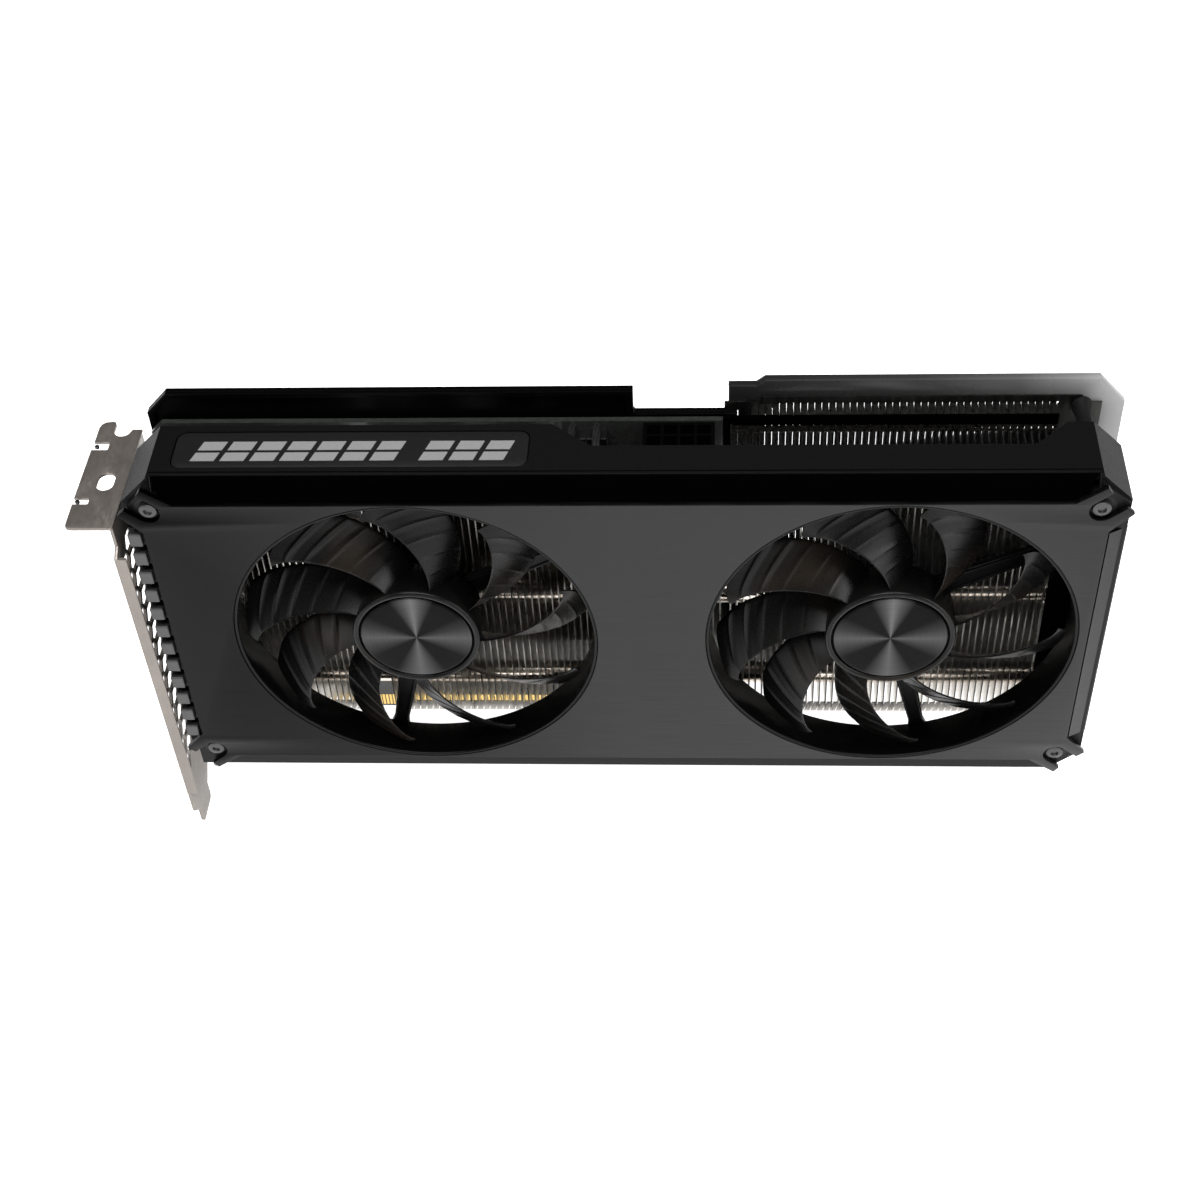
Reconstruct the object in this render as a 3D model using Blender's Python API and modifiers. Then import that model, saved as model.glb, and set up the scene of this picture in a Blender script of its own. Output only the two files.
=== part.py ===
"""Two-slot desktop graphics card with two axial fans.

Frame: metres, +Z up, the card upright as if plugged down into a slot.
Origin on the bottom face of the long edge-connector segment, at its middle
and at mid-thickness of the board.  +X runs from the I/O bracket to the free
end, -Y is the fan side, +Y is the backplate side.
"""
import math

import bmesh
import bpy
from mathutils import Matrix, Vector

MM = 0.001

# ---- driving dimensions (millimetres) ------------------------------------
PCB_T = 1.57
PCB_X = (-90.0, 56.5)
PCB_Z = (9.0, 109.6)
FACE_Y = -35.0               # front of the brushed face plate
FACE_T = 1.5
FACE_X = (-85.7, 148.3)
FACE_Z = (18.0, 112.4)
BODY_X = (-90.4, 153.3)      # outer sides of the shroud
BODY_Z = (11.7, 118.7)
BODY_BACK = -12.4
CORNER = 7.6                 # shroud corner chamfer
WALL = 2.0
FAN_X = (-22.4, 99.1)
FAN_Z = 65.2
OPEN_R = 47.0                # fan opening in the face
BLADE_R = 44.6
HUB_R = 16.6
BLADES = 9
BLADE_TURN = (-3.0, -22.0)   # resting turn of each rotor, degrees
FIN_FRONT = -17.5
FIN_Z = (17.7, 109.2)
FIN_PITCH = 5.34            # every third fin of the real 1.78 mm stack
FIN_T = 0.5
PIPE_R = 3.0
PIPE_Y = -9.6
PIPE_Z = (25.2, 57.2)
BRACKET_X = -93.9            # inner face of the bracket sheet
BRACKET_T = 0.86
BRACKET_TOP = 103.7
BRACKET_LEN = 120.02
GAP = 0.3

# ---- scene set-up ---------------------------------------------------------
for ob in list(bpy.data.objects):
    bpy.data.objects.remove(ob, do_unlink=True)

PARTS = bpy.data.collections.new("graphics_card")
CUTTERS = bpy.data.collections.new("cutters")
bpy.context.scene.collection.children.link(PARTS)
bpy.context.scene.collection.children.link(CUTTERS)


def material(name, colour, rough, metal=0.0):
    m = bpy.data.materials.new(name)
    m.use_nodes = True
    b = m.node_tree.nodes["Principled BSDF"]
    b.inputs["Base Color"].default_value = (*colour, 1.0)
    b.inputs["Roughness"].default_value = rough
    b.inputs["Metallic"].default_value = metal
    return m


M_FACE = material("brushed_face", (0.045, 0.045, 0.048), 0.42, 0.6)
M_BLACK = material("black_plastic", (0.012, 0.012, 0.013), 0.45)
M_GLOSS = material("gloss_black", (0.006, 0.006, 0.006), 0.12)
M_FAN = material("fan_plastic", (0.030, 0.029, 0.028), 0.30)
M_FIN = material("fin_aluminium", (0.70, 0.69, 0.66), 0.35, 1.0)
M_PIPE = material("pipe_plated", (0.72, 0.70, 0.66), 0.28, 1.0)
M_STEEL = material("steel", (0.55, 0.53, 0.50), 0.35, 1.0)
M_NICKEL = material("bracket_nickel", (0.62, 0.59, 0.56), 0.40, 1.0)
M_BOARD = material("board", (0.020, 0.022, 0.020), 0.50)
M_CHIP = material("chip", (0.020, 0.020, 0.021), 0.40)
M_DIE = material("package", (0.18, 0.19, 0.20), 0.25, 0.5)
M_FERRITE = material("ferrite", (0.08, 0.08, 0.085), 0.60)
M_CAN = material("can", (0.60, 0.60, 0.60), 0.30, 1.0)
M_COPPER = material("winding", (0.60, 0.28, 0.12), 0.35, 1.0)
M_BRASS = material("bearing_brass", (0.65, 0.50, 0.22), 0.30, 1.0)


# ---- helpers --------------------------------------------------------------
def link(ob, mat=None, cutter=False):
    (CUTTERS if cutter else PARTS).objects.link(ob)
    if cutter:
        ob.hide_render = True
        ob.display_type = "WIRE"
    elif mat is not None:
        ob.data.materials.clear()
        ob.data.materials.append(mat)
    return ob


def finish(bm, name, mat=None, cutter=False, matrix=None, smooth=False):
    bmesh.ops.recalc_face_normals(bm, faces=bm.faces)
    me = bpy.data.meshes.new(name)
    bm.to_mesh(me)
    bm.free()
    if smooth:
        me.shade_smooth()
        me.set_sharp_from_angle(angle=math.radians(35))
    ob = bpy.data.objects.new(name, me)
    if matrix is not None:
        ob.matrix_world = matrix
    return link(ob, mat, cutter)


def box(name, x, y, z, mat=None, bevel=0.0, cutter=False):
    """Box from three (low, high) pairs."""
    bm = bmesh.new()
    bmesh.ops.create_cube(bm, size=1.0)
    for v in bm.verts:
        v.co = Vector(((x[1] - x[0]) * v.co.x, (y[1] - y[0]) * v.co.y, (z[1] - z[0]) * v.co.z)) * MM
    mid = Vector(((x[0] + x[1]) / 2, (y[0] + y[1]) / 2, (z[0] + z[1]) / 2)) * MM
    ob = finish(bm, name, mat, cutter, Matrix.Translation(mid))
    if bevel:
        mod = ob.modifiers.new("edge", "BEVEL")
        mod.width = bevel * MM
        mod.segments = 1
        mod.limit_method = "ANGLE"
    return ob


def turn(axis):
    """Rotation that carries local Z onto a row axis."""
    if axis == "X":
        return Matrix(((0, 0, 1, 0), (1, 0, 0, 0), (0, 1, 0, 0), (0, 0, 0, 1)))
    if axis == "Y":
        return Matrix.Rotation(math.radians(90), 4, "X")      # local Z -> -Y
    return Matrix.Identity(4)


def rod(name, axis, centre, r, lo, hi, mat=None, segs=16, cutter=False, bevel=0.0):
    """Cylinder along an axis; centre is the pair of the other two coordinates."""
    bm = bmesh.new()
    bmesh.ops.create_cone(bm, cap_ends=True, segments=segs, radius1=r * MM, radius2=r * MM, depth=(hi - lo) * MM)
    a, b = centre
    mid = (lo + hi) / 2
    pos = {"X": (mid, a, b), "Y": (a, mid, b), "Z": (a, b, mid)}[axis]
    ob = finish(bm, name, mat, cutter, Matrix.Translation(Vector(pos) * MM) @ turn(axis), smooth=True)
    if bevel:
        mod = ob.modifiers.new("edge", "BEVEL")
        mod.width = bevel * MM
        mod.segments = 1
        mod.limit_method = "ANGLE"
        mod.angle_limit = math.radians(60)
    return ob


def solid_from(ob, name, mat, cutter, smooth=False, flat=False):
    """Closed mesh of a curve or a modified object, in the object's place."""
    bpy.context.view_layer.update()
    dg = bpy.context.evaluated_depsgraph_get()
    me = bpy.data.meshes.new_from_object(ob.evaluated_get(dg))
    world = ob.matrix_world.copy()
    data = ob.data
    bpy.data.objects.remove(ob, do_unlink=True)
    if isinstance(data, bpy.types.Curve):
        bpy.data.curves.remove(data)
    bm = bmesh.new()
    bm.from_mesh(me)
    bpy.data.meshes.remove(me)
    bmesh.ops.remove_doubles(bm, verts=bm.verts, dist=2e-6)
    if flat:
        bmesh.ops.dissolve_limit(bm, angle_limit=math.radians(0.2), verts=bm.verts, edges=bm.edges)
    return finish(bm, name, mat, cutter, world, smooth)


def plate(name, loops, axis, lo, hi, mat=None, cutter=False, smooth=False):
    """Flat outline with holes, extruded along an axis.

    Loops are in (y, z) for axis X, (x, z) for axis Y and (x, y) for axis Z.
    """
    cu = bpy.data.curves.new(name + "_outline", "CURVE")
    cu.dimensions = "2D"
    cu.fill_mode = "BOTH"
    cu.extrude = (hi - lo) / 2 * MM
    for loop in loops:
        sp = cu.splines.new("POLY")
        sp.points.add(len(loop) - 1)
        for p, (u, v) in zip(sp.points, loop):
            p.co = (u * MM, v * MM, 0.0, 1.0)
        sp.use_cyclic_u = True
    ob = bpy.data.objects.new(name + "_curve", cu)
    PARTS.objects.link(ob)
    mid = (lo + hi) / 2 * MM
    pos = {"X": (mid, 0, 0), "Y": (0, mid, 0), "Z": (0, 0, mid)}[axis]
    ob.matrix_world = Matrix.Translation(pos) @ turn(axis)
    return solid_from(ob, name, mat, cutter, smooth, flat=len(loops) == 1)


def turned(name, profile, centre, mat=None, steps=36, cutter=False):
    """Profile of (radius, y) turned about a line along Y through centre (x, z)."""
    me = bpy.data.meshes.new(name)
    bm = bmesh.new()
    vs = [bm.verts.new((r * MM, 0.0, -y * MM)) for r, y in profile]
    closed = profile[0][0] > 0 and profile[-1][0] > 0
    for a, b in zip(vs, vs[1:] + ([vs[0]] if closed else [])):
        bm.edges.new((a, b))
    bm.to_mesh(me)
    bm.free()
    ob = bpy.data.objects.new(name + "_profile", me)
    PARTS.objects.link(ob)
    sc = ob.modifiers.new("turn", "SCREW")
    sc.axis = "Z"
    sc.steps = steps
    sc.render_steps = steps
    sc.use_merge_vertices = True
    sc.merge_threshold = 1e-6
    ob.matrix_world = Matrix.Translation((centre[0] * MM, 0, centre[1] * MM)) @ turn("Y")
    return solid_from(ob, name, mat, cutter, smooth=True)


def boolean(ob, other, how):
    mod = ob.modifiers.new(how.lower(), "BOOLEAN")
    mod.operation = how
    mod.object = other
    mod.solver = "EXACT"
    return mod


def cut(ob, *others):
    for o in others:
        boolean(ob, o, "DIFFERENCE")


def fuse(ob, *others):
    for o in others:
        boolean(ob, o, "UNION")


def settle(ob, dist=4e-6):
    """Carry out an object's modifiers, weld the seams and drop slivers."""
    bpy.context.view_layer.update()
    dg = bpy.context.evaluated_depsgraph_get()
    me = bpy.data.meshes.new_from_object(ob.evaluated_get(dg))
    bm = bmesh.new()
    bm.from_mesh(me)
    bmesh.ops.remove_doubles(bm, verts=bm.verts, dist=dist)
    bmesh.ops.dissolve_degenerate(bm, edges=bm.edges, dist=dist)
    bmesh.ops.recalc_face_normals(bm, faces=bm.faces)
    bm.to_mesh(me)
    bm.free()
    ob.modifiers.clear()
    ob.data = me
    return ob


def circle(cx, cy, r, n, start=0.0):
    return [(cx + r * math.cos(start + 2 * math.pi * i / n), cy + r * math.sin(start + 2 * math.pi * i / n))
            for i in range(n)]


def rect(u, v):
    return [(u[0], v[0]), (u[1], v[0]), (u[1], v[1]), (u[0], v[1])]


def round_rect(u, v, r, n=4):
    out = []
    for cx, cy, a0 in ((u[1] - r, v[0] + r, -90), (u[1] - r, v[1] - r, 0), (u[0] + r, v[1] - r, 90), (u[0] + r, v[0] + r, 180)):
        for i in range(n + 1):
            a = math.radians(a0 + 90 * i / n)
            out.append((cx + r * math.cos(a), cy + r * math.sin(a)))
    return out


def octagon(x, z, c, inset=0.0):
    """Rectangle with 45 degree corners, optionally inset evenly."""
    k = c - inset * (2 - math.sqrt(2))
    x0, x1, z0, z1 = x[0] + inset, x[1] - inset, z[0] + inset, z[1] - inset
    return [(x0 + k, z0), (x1 - k, z0), (x1, z0 + k), (x1, z1 - k), (x1 - k, z1), (x0 + k, z1), (x0, z1 - k), (x0, z0 + k)]


# ---- front face plate -----------------------------------------------------
# Each corner of the face carries two arms around a slot that opens outwards
# at 40 degrees; the cover screw sits in the slot's round end.
SLOT_C = (-2.4, -2.2)        # slot centre, outward from the face corner
SLOT_R = 3.15
SLOT_A = math.radians(40)
SCREWS = [(FACE_X[i] + s * SLOT_C[0], FACE_Z[j] + t * SLOT_C[1]) for i, s in ((0, -1), (1, 1)) for j, t in ((0, -1), (1, 1))]


def ear():
    """One corner in outward coordinates, from the top edge round to the side."""
    d = (math.cos(SLOT_A), math.sin(SLOT_A))
    n = (-d[1], d[0])
    at = lambda l, w: (SLOT_C[0] + d[0] * l + n[0] * w, SLOT_C[1] + d[1] * l + n[1] * w)
    pts = [(-9.1, 0.0), (-1.9, 5.1), at(4.9, SLOT_R), at(0, SLOT_R)]
    for i in range(1, 8):
        a = math.pi / 2 + math.pi * i / 8
        pts.append(at(SLOT_R * math.cos(a), SLOT_R * math.sin(a)))
    pts += [at(0, -SLOT_R), at(4.9, -SLOT_R), (5.3, -3.1), (1.2, -7.7), (0.0, -9.1)]
    return pts


def face_outline():
    e = ear()
    tr = [(FACE_X[1] + a, FACE_Z[1] + b) for a, b in e]
    br = [(FACE_X[1] + a, FACE_Z[0] - b) for a, b in reversed(e)]
    bl = [(FACE_X[0] - a, FACE_Z[0] - b) for a, b in e]
    tl = [(FACE_X[0] - a, FACE_Z[1] + b) for a, b in reversed(e)]
    return tr + br + bl + tl


front = plate("front_plate", [face_outline()] + [circle(cx, FAN_Z, OPEN_R + 0.4, 48) for cx in FAN_X],
              "Y", FACE_Y, FACE_Y + FACE_T, M_FACE)

# ---- shroud ---------------------------------------------------------------
WEB_Y = (FACE_Y + FACE_T + GAP, FACE_Y + FACE_T + GAP + 1.6)
shroud = plate("shroud", [octagon(BODY_X, BODY_Z, CORNER),
                          octagon(BODY_X, BODY_Z, CORNER, WALL + 0.6)], "Y", WEB_Y[1] - 0.2, BODY_BACK, M_BLACK)
web = plate("shroud_web", [[(BODY_X[0] + 1.9, BODY_Z[0] + 1), (BODY_X[1] - 0.5 - CORNER, BODY_Z[0] + 1),
                            (BODY_X[1] - 0.6, BODY_Z[0] + CORNER), (BODY_X[1] - 0.6, BODY_Z[1] - CORNER),
                            (BODY_X[1] - CORNER - 0.6, BODY_Z[1] - 0.9), (BODY_X[0] + CORNER + 0.6, BODY_Z[1] - 0.9),
                            (BODY_X[0] + 1.9, BODY_Z[1] - CORNER)]]
            + [circle(cx, FAN_Z, OPEN_R - 0.4, 40) for cx in FAN_X], "Y", *WEB_Y, cutter=True)
fuse(shroud, web)
for n, cx in enumerate(FAN_X):
    # narrow lip that stands forward through the face opening
    lip = turned("shroud_lip_%d" % n, [(OPEN_R - 0.9, FACE_Y + 0.2), (OPEN_R + 0.05, FACE_Y + 0.2),
                                       (OPEN_R + 0.05, WEB_Y[1] - 0.4), (OPEN_R - 0.9, WEB_Y[1] - 0.4)],
                 (cx, FAN_Z), cutter=True, steps=40)
    fuse(shroud, lip)
fuse(shroud, box("shroud_tooth_bar", (BODY_X[0] + 0.2, BODY_X[0] + 3.6), (FACE_Y + 0.6, WEB_Y[1] + 0.4), (26.6, 103.7), cutter=True))
# sloping strip down the free end, between the face plate's corner arms
fuse(shroud, plate("shroud_side_strip", [[(FACE_X[1] + GAP, FACE_Y + 0.2), (BODY_X[1] - 0.06, FACE_Y + 2.6), (BODY_X[1] - 0.06, -31.3), (151.6, -31.3),
                                          (151.6, -32.3), (FACE_X[1] + GAP, -32.3)]], "Z", 27.5, 102.9, cutter=True))
# wall that closes the free end behind the right fan
fuse(shroud, box("shroud_end_wall", (141.2, BODY_X[1] - 0.9), (-13.7, -12.9), (19.0, 109.0), cutter=True))
for n, (x, z) in enumerate(SCREWS):
    boss = rod("shroud_boss_%d" % n, "Y", (x, z), 3.6, WEB_Y[0] + 0.4, WEB_Y[1] + 7, cutter=True, segs=12)
    hole = rod("shroud_hole_%d" % n, "Y", (x, z), 1.6, WEB_Y[0] - 1, WEB_Y[1] + 5, cutter=True, segs=12)
    fuse(shroud, boss)
    cut(shroud, hole)
FAN_ARMS = ((27.0, 147.0, 257.0), (27.0, 147.0, 283.0))
POST_R = 50.2
BASE_Y = (-22.2, -20.4)
n = 0
for cx, arms in zip(FAN_X, FAN_ARMS):
    for a in arms:
        x, z = cx + POST_R * math.cos(math.radians(a)), FAN_Z + POST_R * math.sin(math.radians(a))
        post = rod("shroud_post_%d" % n, "Y", (x, z), 2.4, WEB_Y[0] + 0.5, BASE_Y[0] - GAP, cutter=True, segs=10)
        fuse(shroud, post)
        n += 1
# recess for the gloss strip along the top front edge, shallow bottom wall,
# open back corner above the fins, slots in the left side wall
cut(shroud,
    box("cut_top_front", (BODY_X[0] + 8.0, BODY_X[1] - 8.0), (-40, -30.4), (110.6, 125), cutter=True),
    box("cut_bottom_back", (BODY_X[0] + 6.0, BODY_X[1] - 6.0), (-22.7, 0), (5, 21), cutter=True),
    plate("cut_top_back", [[(14.4, -10), (14.4, BODY_BACK + 0.2), (24.6, -20.4), (131.4, -20.4), (139.7, BODY_BACK + 0.2), (139.7, -10)]],
          "Z", 112, 125, cutter=True))
slots = None
bm = bmesh.new()
for i in range(13):
    zc = 24.4 + i * 6.6
    geo = bmesh.ops.create_cube(bm, size=1.0)
    for v in geo["verts"]:
        v.co = Vector((v.co.x * 9 - 90.7, v.co.y * 14 - 34.0, v.co.z * 1.9 + zc)) * MM
slots = finish(bm, "cut_side_slots", cutter=True)
cut(shroud, slots)
# pocket for the accent plate in the top rail
ACC_X, ACC_Y = (-77.6, 9.4), (-27.6, -14.9)
cut(shroud, plate("cut_accent", [round_rect((ACC_X[0] - GAP, ACC_X[1] + GAP), (ACC_Y[0] - GAP, ACC_Y[1] + GAP), 2.8)],
                  "Z", BODY_Z[1] - 1.3, BODY_Z[1] + 1, cutter=True))
settle(shroud)
accent = plate("accent_plate", [round_rect(ACC_X, ACC_Y, 2.5)], "Z", BODY_Z[1] - 1.0, BODY_Z[1] - 0.1, M_BLACK)

gloss = plate("gloss_strip", [[(-33.1, 111.0), (-33.1, 113.0), (-31.6, 116.4), (-30.7, 118.5),
                               (-30.7, 116.0), (-31.6, 113.4), (-31.6, 111.0)]], "X",
              BODY_X[0] + 8.4, BODY_X[1] - 8.4, M_GLOSS)

for n, (x, z) in enumerate(SCREWS):
    screw = turned("cover_screw_%d" % (n + 1), [(0, -34.6), (1.6, -34.6), (2.3, -34.2), (2.3, -33.45), (1.3, -33.45), (1.3, -28.4), (0, -28.4)],
                   (x, z), M_BLACK, steps=12)
    cut(screw, rod("screw_drive_%d" % n, "Y", (x, z), 0.8, -35.5, -33.9, cutter=True, segs=6))


# ---- fans -----------------------------------------------------------------
def blade_mesh(name, cx, rest):
    """Nine forward-swept blades as separate closed shells about the fan axis."""
    bm = bmesh.new()
    nu, nv, th = 3, 5, 0.55
    for k in range(BLADES):
        rows = []
        for side in (-1, 1):
            grid = []
            for j in range(nv + 1):
                v = j / nv
                r0 = HUB_R - 0.7 + (BLADE_R - HUB_R + 0.7) * v
                lead = math.radians(115 + 31 * v ** 1.15)
                trail = math.radians(94 + 30 * v ** 1.15)
                line = []
                for i in range(nu + 1):
                    u = i / nu
                    r = r0 - (2.6 * v ** 6) * abs(2 * u - 1) ** 3
                    a = lead + (trail - lead) * u + math.radians(360 / BLADES * k + rest)
                    y = -33.3 + (9.0 - 1.2 * v) * (u ** 0.9) + side * th * (1 - 0.5 * v)
                    line.append(bm.verts.new((cx * MM + r * math.cos(a) * MM, y * MM, FAN_Z * MM + r * math.sin(a) * MM)))
                grid.append(line)
            rows.append(grid)
        f, b = rows
        for j in range(nv):
            for i in range(nu):
                bm.faces.new((f[j][i], f[j][i + 1], f[j + 1][i + 1], f[j + 1][i]))
                bm.faces.new((b[j][i], b[j + 1][i], b[j + 1][i + 1], b[j][i + 1]))
        rim = [(0, i) for i in range(nu)] + [(j, nu) for j in range(nv)] + [(nv, i) for i in range(nu, 0, -1)] + [(j, 0) for j in range(nv, 0, -1)]
        for (j0, i0), (j1, i1) in zip(rim, rim[1:] + rim[:1]):
            bm.faces.new((f[j0][i0], b[j0][i0], b[j1][i1], f[j1][i1]))
    return finish(bm, name, cutter=True)


def fan(prefix, cx, n):
    c = (cx, FAN_Z)
    hinge = bpy.data.objects.new(prefix + "_axis", None)
    hinge.location = Vector((cx, -28.0, FAN_Z)) * MM
    PARTS.objects.link(hinge)
    rotor = turned(prefix + "_rotor", [(0, -32.9), (14.9, -32.9), (15.0, -34.3), (16.0, -34.5), (HUB_R, -34.0), (HUB_R, -23.6),
                                       (15.4, -23.6), (15.4, -31.7), (0, -31.7)], c, M_FAN, steps=24)
    fuse(rotor, blade_mesh(prefix + "_blades", cx, BLADE_TURN[n]))
    cut(rotor, rod(prefix + "_rotor_bore", "Y", c, 1.53, -36, -28, cutter=True, segs=12))
    settle(rotor)
    cap = turned(prefix + "_cap", [(0, -34.4), (13.8, -34.4), (14.6, -34.1), (14.6, -33.2), (0, -33.2)], c, M_GLOSS, steps=24)
    magnet = turned(prefix + "_magnet", [(15.1, -30.6), (15.1, -24.4), (13.3, -24.4), (13.3, -30.6)], c, M_FERRITE, steps=20)
    shaft = rod(prefix + "_shaft", "Y", c, 1.5, -32.85, -23.2, M_STEEL, segs=12)
    base = turned(prefix + "_base", [(3.3, -30.8), (3.3, -22.6), (13.6, -22.6), (13.9, BASE_Y[0]), (13.9, BASE_Y[1]), (0, BASE_Y[1]),
                                     (0, -22.5), (2.6, -22.5), (2.6, -30.8)], c, M_BLACK, steps=24)
    for k, a in enumerate(FAN_ARMS[n]):
        a = math.radians(a)
        d, t = Vector((math.cos(a), math.sin(a))), Vector((-math.sin(a), math.cos(a)))
        o = Vector(c)
        q = [o + d * 12.5 + t * 3.2, o + d * 12.5 - t * 3.2, o + d * (POST_R - 2) - t * 2.0, o + d * (POST_R + 2.2) - t * 1.8,
             o + d * (POST_R + 2.2) + t * 1.8, o + d * (POST_R - 2) + t * 2.0]
        fuse(base, plate("%s_arm_%d" % (prefix, k), [[tuple(p) for p in q]], "Y", BASE_Y[0] + 0.1, BASE_Y[1] - 0.1, cutter=True))
    bearing = turned(prefix + "_bearing", [(2.3, -30.6), (2.3, -22.9), (1.6, -22.9), (1.6, -30.6)], c, M_BRASS, steps=16)
    # four-pole stator: ring with four T-shaped teeth
    pts = []
    for k in range(4):
        a0 = math.pi / 2 * k
        for da, r in ((-0.62, 12.6), (-0.2, 13.0), (0.2, 13.0), (0.62, 12.6), (0.60, 10.8), (0.33, 10.4), (0.40, 6.0), (math.pi / 2 - 0.40, 6.0),
                      (math.pi / 2 - 0.33, 10.4), (math.pi / 2 - 0.60, 10.8)):
            pts.append((cx + r * math.cos(a0 + da), FAN_Z + r * math.sin(a0 + da)))
    stator = plate(prefix + "_stator", [pts, circle(cx, FAN_Z, 3.7, 20)], "Y", -30.4, -25.2, M_COPPER)
    board = plate(prefix + "_board", [circle(cx, FAN_Z, 12.8, 24), circle(cx, FAN_Z, 3.7, 16)], "Y", -24.4, -23.4, M_BOARD)
    for ob in (rotor, cap, magnet, shaft):
        world = ob.matrix_world.copy()
        bpy.context.view_layer.update()
        ob.parent = hinge
        ob.matrix_parent_inverse = hinge.matrix_world.inverted()
        ob.matrix_world = world
    return rotor, base, bearing, stator, board, cap, magnet, shaft


for n, (prefix, cx) in enumerate((("left_fan", FAN_X[0]), ("right_fan", FAN_X[1]))):
    fan(prefix, cx, n)


def tube(name, pts, r, mat, res=1):
    cu = bpy.data.curves.new(name, "CURVE")
    cu.dimensions = "3D"
    cu.bevel_depth = r * MM
    cu.bevel_resolution = res
    cu.use_fill_caps = True
    sp = cu.splines.new("POLY")
    sp.points.add(len(pts) - 1)
    for p, co in zip(sp.points, pts):
        p.co = (co[0] * MM, co[1] * MM, co[2] * MM, 1.0)
    ob = bpy.data.objects.new(name + "_curve", cu)
    PARTS.objects.link(ob)
    return solid_from(ob, name, mat, False, smooth=True)


def smooth_path(keys, n):
    """Catmull-Rom points through the key points."""
    k = [Vector(p) for p in keys]
    k = [2 * k[0] - k[1]] + k + [2 * k[-1] - k[-2]]
    out = []
    for a, b, c, d in zip(k, k[1:], k[2:], k[3:]):
        for i in range(n):
            t = i / n
            out.append(0.5 * ((2 * b) + (c - a) * t + (2 * a - 5 * b + 4 * c - d) * t * t + (3 * b - a - 3 * c + d) * t ** 3))
    out.append(k[-2])
    return out


# Motor leads: out over the base, up behind the face, back over the fins.
tube("left_fan_lead", smooth_path([(-13.0, -19.0, 68.5), (4.0, -19.0, 76.0), (15.0, -19.0, 90.0), (18.5, -19.0, 104.0),
                                   (18.8, -15.6, 112.2), (18.9, -9.0, 112.4), (19.0, -4.2, 111.0), (19.0, -3.9, 108.6)], 3), 1.0, M_BLACK)
tube("right_fan_lead", smooth_path([(88.0, -19.0, 69.0), (68.0, -19.0, 78.0), (42.0, -19.0, 90.0), (27.5, -19.0, 104.0),
                                    (25.4, -15.6, 112.2), (25.1, -9.0, 112.4), (25.0, -4.2, 111.0), (25.0, -3.9, 108.6)], 3), 1.0, M_BLACK)
box("fan_plug", (16.6, 27.4), (-5.9, -1.1), (101.0, 108.2), M_BLACK, 0.3)


# ---- heatsink -------------------------------------------------------------
def comb(name, x, yf, ys, yb, zr):
    """Fins along X joined by a thin spine ys; they may reach past it to yb."""
    count = int(round((x[1] - x[0] - FIN_T) / FIN_PITCH)) + 1
    step = (x[1] - x[0] - FIN_T) / (count - 1)
    front, back = [], []
    for i in range(count):
        a = x[0] + i * step
        front += [(a, ys[0]), (a, yf), (a + FIN_T, yf), (a + FIN_T, ys[0])]
        if yb > ys[1]:
            back += [(a, ys[1]), (a, yb), (a + FIN_T, yb), (a + FIN_T, ys[1])]
    front = front[1:-1]
    back = back[1:-1] if back else [(x[0], ys[1]), (x[1], ys[1])]
    return plate(name, [front + back[::-1]], "Z", *zr, M_FIN)


fins = [comb("fin_stack_left", (-79.4, -42.4), FIN_FRONT, (-7.2, -6.7), -6.7, FIN_Z),
        comb("fin_stack_center", (-35.2, 33.2), FIN_FRONT, (-7.2, -6.7), -6.7, FIN_Z),
        comb("fin_stack_right", (58.4, 139.8), FIN_FRONT, (-3.0, -2.4), 2.6, (FIN_Z[0], 112.4))]
bridge = comb("fin_stack_bridge", (36.0, 56.0), FIN_FRONT, (-13.6, -13.1), -13.1, FIN_Z)
cut(fins[2], box("cut_fin_step", (50, 145), (-25, -1.9), (FIN_Z[1], 115), cutter=True),
    box("cut_fin_side", (50, 63.1), (-1.9, 5), (10, 120), cutter=True))
for n, pz in enumerate(PIPE_Z):
    chan = box("cut_pipe_%d" % n, (-100, 160), (PIPE_Y - PIPE_R - GAP, PIPE_Y + PIPE_R + GAP), (pz - PIPE_R - GAP, pz + PIPE_R + GAP), cutter=True)
    for f in fins:
        cut(f, chan)
    rod("heat_pipe_%d" % (n + 1), "X", (PIPE_Y, pz), PIPE_R, -79.6, 144.0, M_PIPE, segs=14)
for f in fins:
    settle(f)
box("fin_trim_strip", (58.8, 139.6), (-2.0, -1.4), (113.0, 114.0), M_BLACK)
box("cold_plate", (-18.0, 34.0), (-6.2, -3.4), (34.0, 84.0), M_PIPE, 0.3)

# ---- board and what is soldered to it --------------------------------------
H = PCB_T / 2
board_outline = [(PCB_X[0], PCB_Z[0]), (-49.5, PCB_Z[0]), (-49.5, 1.2), (-48.3, 0.0), (-38.3, 0.0), (-37.7, 0.8), (-37.7, PCB_Z[0] - 0.6),
                 (-35.8, PCB_Z[0] - 0.6), (-35.8, 0.8), (-35.2, 0.0), (34.7, 0.0), (35.85, 1.2), (35.85, PCB_Z[0] + 1.5), (38.2, PCB_Z[0] + 1.5),
                 (38.2, 3.4), (41.8, 3.4), (41.8, 6.0), (44.6, PCB_Z[0]), (PCB_X[1], PCB_Z[0]),
                 (PCB_X[1], PCB_Z[1]), (PCB_X[0] + 3, PCB_Z[1]), (PCB_X[0], PCB_Z[1] - 3)]
plate("pcb", [board_outline], "Y", -H, H, M_BOARD)
SEAT = -H - GAP
box("gpu_package", (-9.5, 28.5), (-3.1, SEAT), (40.0, 78.0), M_DIE, 0.2)
for n, (x, z) in enumerate(((-27.0, 44.0), (-27.0, 64.0), (-8.0, 93.5), (12.0, 93.5))):
    box("memory_chip_%d" % (n + 1), (x - 6, x + 6), (SEAT - 1.2, SEAT), (z - 7, z + 7), M_CHIP)
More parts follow.
